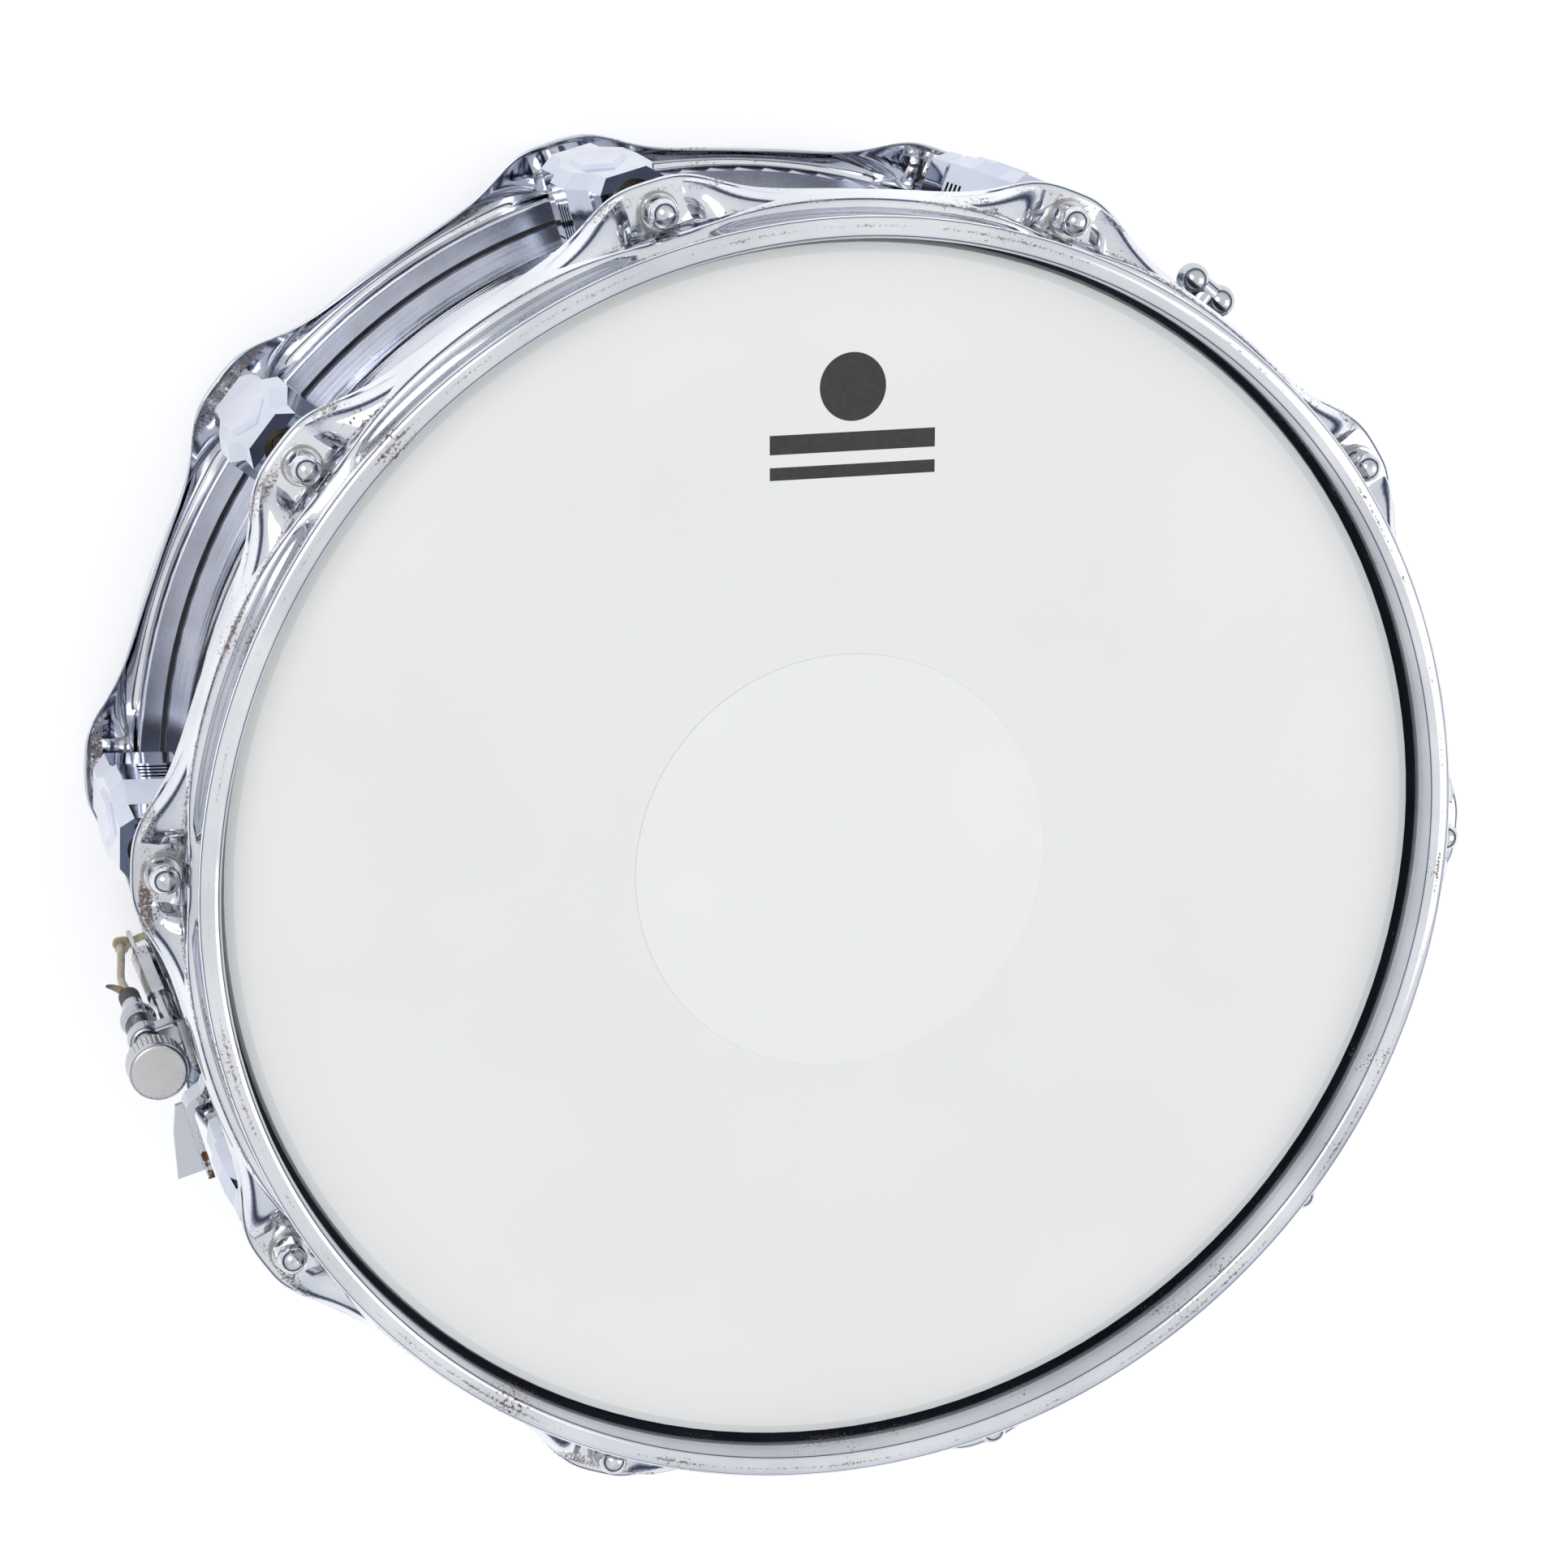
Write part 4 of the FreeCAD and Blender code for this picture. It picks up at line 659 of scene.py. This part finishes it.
# ------------------------------------------------------------------ snare cords

CORD_RADIUS = 1.2 * MM
SNARE_CORD_ROUTE = [
    (-164.0, 0.0, 9.0), (-173.0, 0.4, 8.8), (-183.0, 0.0, 9.2), (-192.0, -0.3, 9.6),
    (-197.6, 0.3, 14.0), (-197.4, 2.4, 21.0), (-198.6, 1.6, 30.0), (-201.0, -1.0, 40.0),
    (-200.5, -0.4, 50.0), (-200.4, 0.0, 58.0), (-200.38, 0.01, 68.0),
]
BUTT_CORD_ROUTE = [
    (164.0, 0.0, 9.0), (173.0, -0.4, 8.8), (183.0, 0.0, 9.2), (191.6, 0.3, 10.4),
    (193.4, 0.4, 19.0), (190.0, 0.2, 28.0), (187.1, 0.0, 36.0), (187.05, 0.01, 46.0),
]
TAIL_ROUTE = [(-201.6, 1.9, 59.2), (-203.0, 2.6, 55.4), (-205.4, 2.4, 51.0)]
TAIL_TAPER = 0.55
KNOT_MIDDLE = Vector((-196.6, 0.2, 12.6)) * MM
KNOT_TURNS = 2.6
KNOT_RADIUS = 1.7 * MM
KNOT_HEIGHT = 2.2 * MM
KNOT_SWAY = 0.4 * MM
KNOT_UNEVENNESS = 0.14
KNOT_BULGES = 3.1
KNOT_STEPS = 60
# The knot's cord is pulled tight, so it is a little thinner.
KNOT_TIGHTNESS = 0.86


def make_snare_cord():
    """The strainer's cord, with the knot at its wire eye and the burnt end at its sleeve."""
    cotton = MATERIALS["cotton_cord"]
    line = smooth_line(in_metres(SNARE_CORD_ROUTE))
    cord = twisted_tube("strainer_cord", dense(line), CORD_RADIUS, cotton)
    turns = []
    for step in range(KNOT_STEPS + 1):
        share = step / KNOT_STEPS
        angle = 2 * math.pi * KNOT_TURNS * share
        reach = KNOT_RADIUS * (1 + KNOT_UNEVENNESS * math.sin(KNOT_BULGES * angle))
        turns.append(KNOT_MIDDLE + Vector((
            reach * math.cos(angle),
            reach * math.sin(angle),
            (share - 0.5) * KNOT_HEIGHT + KNOT_SWAY * math.sin(2 * angle),
        )))
    knot = twisted_tube("strainer_cord_knot", dense(turns), CORD_RADIUS * KNOT_TIGHTNESS, cotton)
    tail_line = smooth_line(in_metres(TAIL_ROUTE))
    tail = twisted_tube("strainer_cord_tail", dense(tail_line), CORD_RADIUS, SINGED_CORD, taper=TAIL_TAPER)
    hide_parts("snare_cord")
    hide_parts("cord_tail")
    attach(tail, "clamp")
    for piece in (cord, knot):
        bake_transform(piece)


def make_butt_cord():
    """The fixed cord at the butt plate."""
    line = smooth_line(in_metres(BUTT_CORD_ROUTE))
    cord = twisted_tube("butt_plate_cord", dense(line), CORD_RADIUS, MATERIALS["cotton_cord"])
    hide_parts("butt_cord")
    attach(cord, "drum")


make_snare_cord()
make_butt_cord()


# ------------------------------------------------------------------ snare strands

STRANDS = 20
STRAND_PITCH = 2.2 * MM
WIRE_RADIUS = 0.22 * MM
# Real strands are wound at about 1 mm a turn. They are wound at 2 mm so that the turns show.
TURN_LENGTH = 2.0 * MM
POINTS_PER_TURN = 8


def make_strands():
    """Twenty coiled steel wires side by side."""
    low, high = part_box("snare_strands")
    coil_radius = (high.z - low.z) / 2 - WIRE_RADIUS
    level = (high.z + low.z) / 2
    data = bpy.data.curves.new("coiled_snare_strands", "CURVE")
    data.dimensions = "3D"
    data.bevel_depth = WIRE_RADIUS
    data.bevel_resolution = 0
    steps = round((high.x - low.x - 2 * WIRE_RADIUS) / TURN_LENGTH * POINTS_PER_TURN)
    for strand in range(STRANDS):
        y = (strand - (STRANDS - 1) / 2) * STRAND_PITCH
        spline = data.splines.new("POLY")
        spline.points.add(steps)
        for step, point in enumerate(spline.points):
            angle = 2 * math.pi * step / POINTS_PER_TURN + strand
            x = low.x + WIRE_RADIUS + step * TURN_LENGTH / POINTS_PER_TURN
            point.co = (x, y + coil_radius * math.cos(angle), level + coil_radius * math.sin(angle), 1.0)
    data.materials.append(MATERIALS["snare_steel"])
    strands = bpy.data.objects.new("coiled_snare_strands", data)
    scene.collection.objects.link(strands)
    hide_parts("snare_strands")
    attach(strands, "drum")


make_strands()


# ------------------------------------------------------------------ damper felt

FELT_SIDES = 48
# The felt's outline, as shares of its radius and of half its height.
FELT_PROFILE = [
    (0.0, 1.0), (0.45, 0.99), (0.78, 0.94), (0.93, 0.8), (0.99, 0.5), (1.0, 0.0),
    (0.99, -0.5), (0.93, -0.8), (0.78, -0.96), (0.45, -1.0), (0.0, -1.0),
]
# A cut edge wanders a little. The disc is drawn smaller, so that it keeps to its size.
FELT_WANDER = 0.012
FELT_LOBES = 5
FELT_SHARE = 0.985
WELD_REACH = 0.01 * MM


def make_felt():
    """A pressed felt disc with a soft crown and rounded edge."""
    low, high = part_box("damper_felt")
    middle = (low + high) / 2
    radius = (high.x - low.x) / 2
    half = (high.z - low.z) / 2
    points = []
    for share, lift in FELT_PROFILE:
        for corner in range(FELT_SIDES):
            turn = 2 * math.pi * corner / FELT_SIDES
            reach = radius * FELT_SHARE * share * (1 + FELT_WANDER * math.sin(FELT_LOBES * turn) * share)
            points.append(middle + Vector((reach * math.cos(turn), reach * math.sin(turn), half * lift)))
    faces = []
    for ring in range(len(FELT_PROFILE) - 1):
        for corner in range(FELT_SIDES):
            near = ring * FELT_SIDES + corner
            beside = ring * FELT_SIDES + (corner + 1) % FELT_SIDES
            faces.append((near, near + FELT_SIDES, beside + FELT_SIDES, beside))
    felt = new_mesh("damper_felt_disc", points, faces, MATERIALS["damper_felt"])
    weld = felt.modifiers.new("weld", "WELD")
    weld.merge_threshold = WELD_REACH
    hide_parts("damper_felt")
    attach(felt, "damper_arm_body")


make_felt()


# ------------------------------------------------------------------ printed mark

MARK_MIDDLE = Vector((0.036, 0.1245, 0.0))
MARK_TURN = -15.0
INK_HEIGHT = 0.04 * MM
# The mark's shapes in millimetres round its middle. A bar is its left, foot, right and head.
DISC_RADIUS = 9.6
DISC_MIDDLE = 7.2
DISC_SIDES = 64
BARS = [(-24.0, -10.8, 24.0, -5.4), (-24.0, -18.0, 24.0, -14.4)]


def make_mark():
    """A plain printed mark on the head: a black disc over two bars."""
    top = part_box("batter_head")[1].z
    shapes = [[
        (DISC_RADIUS * math.cos(2 * math.pi * step / DISC_SIDES),
         DISC_MIDDLE + DISC_RADIUS * math.sin(2 * math.pi * step / DISC_SIDES))
        for step in range(DISC_SIDES)
    ]]
    for left, foot, right, head in BARS:
        shapes.append([(left, foot), (right, foot), (right, head), (left, head)])
    turn = Matrix.Rotation(math.radians(MARK_TURN), 3, "Z")
    points = []
    faces = []
    for shape in shapes:
        faces.append(tuple(range(len(points), len(points) + len(shape))))
        for x, y in shape:
            place = turn @ (Vector((x, y, 0)) * MM) + MARK_MIDDLE
            points.append((place.x, place.y, top + INK_HEIGHT))
    mark = new_mesh("printed_mark", points, faces, INK, smooth=False)
    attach(mark, "drum")


make_mark()


# ------------------------------------------------------------------ floor, light and air

# Half the floor's side in metres, and how strongly the floor glows by itself, which lights the plate below.
FLOOR_HALF = 30.0
FLOOR_GLOW = 0.24
LAMP_AIM = Vector((0, 0, 0.1))
# Each lamp's place and width in metres, and its power in watts.
LAMPS = {
    "key_softbox": (Vector((-0.9, 1.3, 2.2)), 1.2, 14.0),
    "fill_softbox": (Vector((1.6, -0.6, 1.9)), 1.4, 8.0),
}


def make_stage():
    """A pale floor and an even white room, darker towards the horizon so that the plate has edges."""
    material, tree = blank_material("pale_floor")
    place = add(tree, "ShaderNodeTexCoord").outputs["Object"]
    tone = add(tree, "ShaderNodeTexNoise", {"Vector": place, "Scale": per_metre(500)})
    colour = add(tree, "ShaderNodeValToRGB", {"Fac": tone.outputs["Fac"]},
                 stops=[(0.0, linear("#F8F8F8")), (1.0, linear("#FBFBFB"))]).outputs["Color"]
    shader = add(tree, "ShaderNodeBsdfPrincipled", {
        "Base Color": colour, "Roughness": 0.9, "Emission Color": linear("#FFFFFF"),
        "Emission Strength": FLOOR_GLOW})
    add(tree, "ShaderNodeOutputMaterial", {"Surface": shader.outputs[0]})
    corners = [
        (-FLOOR_HALF, -FLOOR_HALF, 0),
        (FLOOR_HALF, -FLOOR_HALF, 0),
        (FLOOR_HALF, FLOOR_HALF, 0),
        (-FLOOR_HALF, FLOOR_HALF, 0),
    ]
    floor = new_mesh("floor", corners, [(0, 1, 2, 3)], material)

    world = bpy.data.worlds.new("studio")
    world.use_nodes = True
    tree = world.node_tree
    tree.nodes.clear()
    direction = add(tree, "ShaderNodeTexCoord").outputs["Generated"]
    split = add(tree, "ShaderNodeSeparateXYZ", {"Vector": direction})
    sky = add(tree, "ShaderNodeValToRGB", {"Fac": split.outputs["Z"]}, stops=[
        (0.0, linear("#B9C0D2")),
        (0.10, linear("#7F869A")),
        (0.20, linear("#3A3E4A")),
        (0.30, linear("#6A7080")),
        (0.40, linear("#E8ECF6")),
        (0.8, linear("#FFFFFF")),
        (1.0, linear("#FFFFFF")),
    ]).outputs["Color"]
    air = add(tree, "ShaderNodeBackground", {"Color": sky, "Strength": 1.0})
    add(tree, "ShaderNodeOutputWorld", {"Surface": air.outputs[0]})
    scene.world = world

    for name, (place, width, power) in LAMPS.items():
        data = bpy.data.lights.new(name, "AREA")
        data.shape = "SQUARE"
        data.size = width
        data.energy = power
        lamp = bpy.data.objects.new(name, data)
        lamp.location = place
        lamp.rotation_mode = "QUATERNION"
        lamp.rotation_quaternion = (LAMP_AIM - place).to_track_quat("-Z", "Y")
        scene.collection.objects.link(lamp)
    scene.view_settings.view_transform = "Standard"


make_stage()
